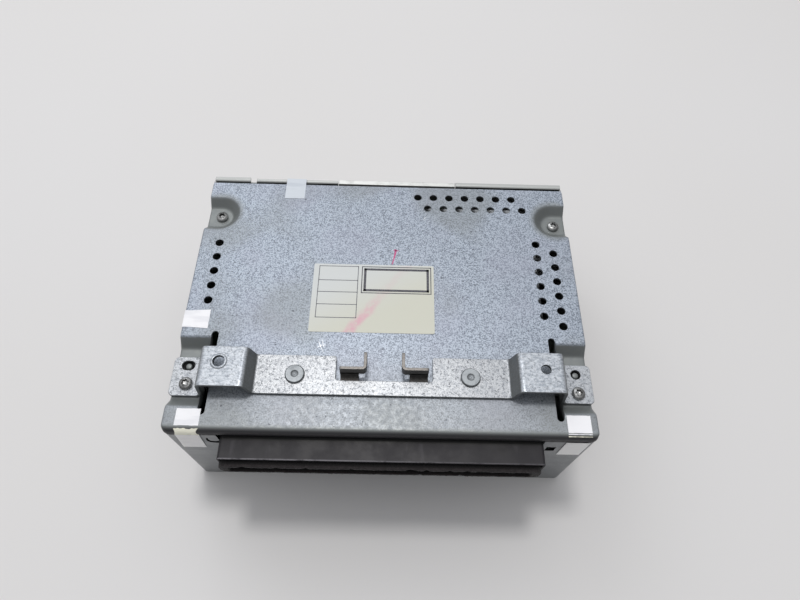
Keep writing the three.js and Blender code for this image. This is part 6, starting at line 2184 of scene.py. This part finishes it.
@dataclass
class Studio:
    """The floor, the soft light and the camera at the photograph's viewpoint."""

    camera_place: tuple[float, float, float] = (2.930, -137.660, 304.128)
    elevation: float = 60.21
    azimuth: float = 1.67
    roll: float = -2.77
    focal_pixels: float = 590.131
    picture_width: float = 800.0
    sensor: float = 36.0
    floor_reach: float = 4.0
    floor_level: float = -0.0002
    floor_tone: Colour = tone(216, 215, 214)
    floor_cloud: Colour = tone(220, 220, 221)
    room_tone: Colour = tone(253, 253, 255)
    wall_tone: Colour = tone(232, 233, 234)
    room_light: float = 0.18
    window_light: float = 1.0
    window_toward: tuple[float, float, float] = (-0.14, 0.36, 0.922)
    window_edge: Band = (0.25, 0.95)
    lamps: Sequence[Lamp] = (
        Lamp("window_behind", (-0.9, 1.5, 1.4), 1.2, 7.0, tone(251, 253, 255)),
        Lamp("ceiling", (-0.1, 0.38, 1.93), 0.3, 11.0, tone(255, 252, 249)),
    )

    def camera(self) -> None:
        """Sets the camera, turned about its line of sight by the roll."""
        up, side, roll = (math.radians(angle) for angle in (self.elevation, self.azimuth, self.roll))
        forward = Vector((math.sin(side) * math.cos(up), math.cos(side) * math.cos(up), -math.sin(up)))
        right = Vector((math.cos(side), -math.sin(side), 0.0))
        down = forward.cross(right)
        rolled = math.cos(roll) * right + math.sin(roll) * down
        lower = math.cos(roll) * down - math.sin(roll) * right
        data = bpy.data.cameras.new("photo_camera")
        data.sensor_width = self.sensor
        data.lens = self.focal_pixels / self.picture_width * self.sensor
        data.clip_start = 0.01
        camera = bpy.data.objects.new("photo_camera", data)
        turn = Matrix((rolled, -lower, -forward)).transposed().to_4x4()
        camera.matrix_world = Matrix.Translation(Vector(self.camera_place) * MM) @ turn
        bpy.context.scene.collection.objects.link(camera)
        bpy.context.scene.camera = camera

    def floor(self) -> None:
        """Lays a pale matt table under the radio."""
        bench = Bench("pale_table")
        cloud = bench.noise(260.0, 1.0)
        bench.set(Base_Color=bench.blend(cloud, self.floor_tone, self.floor_cloud), Roughness=0.7)
        mesh = bpy.data.meshes.new("pale_table")
        reach = self.floor_reach
        corners = [(-reach, -reach, 0), (reach, -reach, 0), (reach, reach, 0), (-reach, reach, 0)]
        mesh.from_pydata(corners, [], [(0, 1, 2, 3)])
        mesh.transform(Matrix.Translation((0, 0, self.floor_level)))
        mesh.materials.append(bench.material)
        floor = bpy.data.objects.new("pale_table", mesh)
        bpy.context.scene.collection.objects.link(floor)

    def world(self) -> None:
        """Lights dimly from all round and strongly from a wide soft window above and behind the radio.

        The strength is a smooth step of the direction's dot product with the window's own direction. What
        looks straight at the room sees a pale wall.
        """
        world = bpy.data.worlds.new("soft_room")
        bpy.context.scene.world = world
        world.use_nodes = True
        tree = world.node_tree
        tree.nodes.clear()
        add, link = tree.nodes.new, tree.links.new
        facing_window = add("ShaderNodeVectorMath")
        facing_window.operation = "DOT_PRODUCT"
        link(add("ShaderNodeTexCoord").outputs["Generated"], facing_window.inputs[0])
        facing_window.inputs[1].default_value = self.window_toward
        strength = add("ShaderNodeMapRange")
        strength.interpolation_type = "SMOOTHSTEP"
        numbers = (*self.window_edge, self.room_light, self.window_light)
        for key, number in zip(RANGE_INPUTS, numbers):
            strength.inputs[key].default_value = number
        link(facing_window.outputs["Value"], strength.inputs["Value"])
        room, pale = add("ShaderNodeBackground"), add("ShaderNodeBackground")
        room.inputs["Color"].default_value = self.room_tone
        link(strength.outputs[0], room.inputs["Strength"])
        pale.inputs["Color"].default_value = self.wall_tone
        path, mixed = add("ShaderNodeLightPath"), add("ShaderNodeMixShader")
        link(path.outputs["Is Camera Ray"], mixed.inputs[0])
        link(room.outputs[0], mixed.inputs[1])
        link(pale.outputs[0], mixed.inputs[2])
        link(mixed.outputs[0], add("ShaderNodeOutputWorld").inputs["Surface"])

    def build(self) -> None:
        """Sets up the camera, floor, world and lamps."""
        self.camera()
        self.floor()
        self.world()
        for lamp in self.lamps:
            lamp.hang()
        bpy.context.scene.view_settings.view_transform = "Standard"


@dataclass
class CarRadio:
    """The whole radio, built from its sub-assemblies in order."""

    dimple_seat: float = 62.6
    tab_seat: float = 64.0
    bottom_seat: float = 2.2
    bottom_half: float = 81.5
    bottom_front: float = -36.0
    bottom_back: float = 34.0
    screw_turn: float = 0.7
    paper_level: float = TOP + 0.12
    side_level: float = -HALF - 0.14
    lip_level: float = -66.34
    lip_bend: float = 3.15

    def fasteners(self) -> None:
        """Seats the eight screws, each turned a little further than the last, and the two rivets."""
        ends = ("left", "right")
        half = self.bottom_half
        screws = []
        for row, spots, seat in (
            ("cover_screw_back", DIMPLE_SCREWS, self.dimple_seat),
            ("bracket_screw", BRACKET_SCREWS, self.tab_seat),
            ("bottom_screw_front", ((-half, self.bottom_front), (half, self.bottom_front)), self.bottom_seat),
            ("bottom_screw_back", ((-half, self.bottom_back), (half, self.bottom_back)), self.bottom_seat),
        ):
            screws += [(f"{row}_{end}", (*spot, seat)) for end, spot in zip(ends, spots)]
        for number, (name, spot) in enumerate(screws):
            PanScrew(name, spot, name.startswith("bottom"), turn=self.screw_turn * number).build()
        for end, spot in zip(ends, RIVETS):
            StripRivet(f"bracket_rivet_{end}", spot).build()

    def papers(self) -> None:
        """Lays the label and the four seals."""
        InfoLabel().build()
        level = self.paper_level
        back = Track([(56.4, level), (69.3, level)], 0.1)
        clear = [(0.0, back.length, Surface.SEAL_CLEAR)]
        PaperSeal("seal_back_paper", "seal_back", back, (-52.65, -42.35), True, clear, -1).build()
        left = Track([(self.side_level, 61.0), (self.side_level, level), (-78.95, level)], 0.45)
        white = [(0.0, left.length, Surface.SEAL)]
        PaperSeal("seal_left_paper", "seal_left", left, (-18.8, -8.9), False, white).build()
        self.front_seal("seal_front_left", (-85.05, -74.65), 46.0, -56.2, torn=True)
        self.front_seal("seal_front_right", (77.35, 87.65), 45.0, -55.9, torn=False)

    def front_seal(self, name: str, across: Band, drop: float, reach: float, torn: bool) -> None:
        """Lays a seal that runs from the front wall over the lip, white on top, painted brighter below and
        torn between.

        Args:
            name: name of the solid that it replaces.
            across: its left and right edges.
            drop: height of its lower end.
            reach: where it ends behind the lip.
            torn: whether the seal leans and has one wide torn patch on the roll, or only two thin strips.
        """
        level, bend = self.paper_level, self.lip_bend
        track = Track([(self.lip_level, drop), (self.lip_level, level), (reach, level)], bend)
        start = level - drop - bend
        end = start + bend * math.pi / 2
        spans = [(end - 0.2, track.length, Surface.SEAL)]
        if torn:
            spans += [(start - 0.4, end - 1.5, Surface.SEAL_TORN), (0.0, start - 0.6, Surface.SEAL_BRIGHTENED)]
        else:
            spans += [(0.0, start - 1.2, Surface.SEAL_BRIGHTENED), (end - 0.95, end - 0.6, Surface.SEAL)]
            spans.append((end - 1.9, end - 1.6, Surface.SEAL_TORN))
        PaperSeal(f"{name}_paper", name, track, across, True, spans, -1, lean=0.09 if torn else 0.0).build()

    def build(self) -> None:
        """Builds the cover, bracket, fasteners, foam, papers, marks and the carried solids."""
        TopCover().build()
        MountingBracket().build()
        self.fasteners()
        SlotFoam().build()
        self.papers()
        for group in (CoverMarks, FeedScrew, CarriedSolids):
            group().build()


def main() -> None:
    """Builds the studio and the radio."""
    logging.basicConfig(level=logging.INFO, format="%(name)s: %(message)s")
    Studio().build()
    CarRadio().build()


if __name__ == "__main__":
    main()
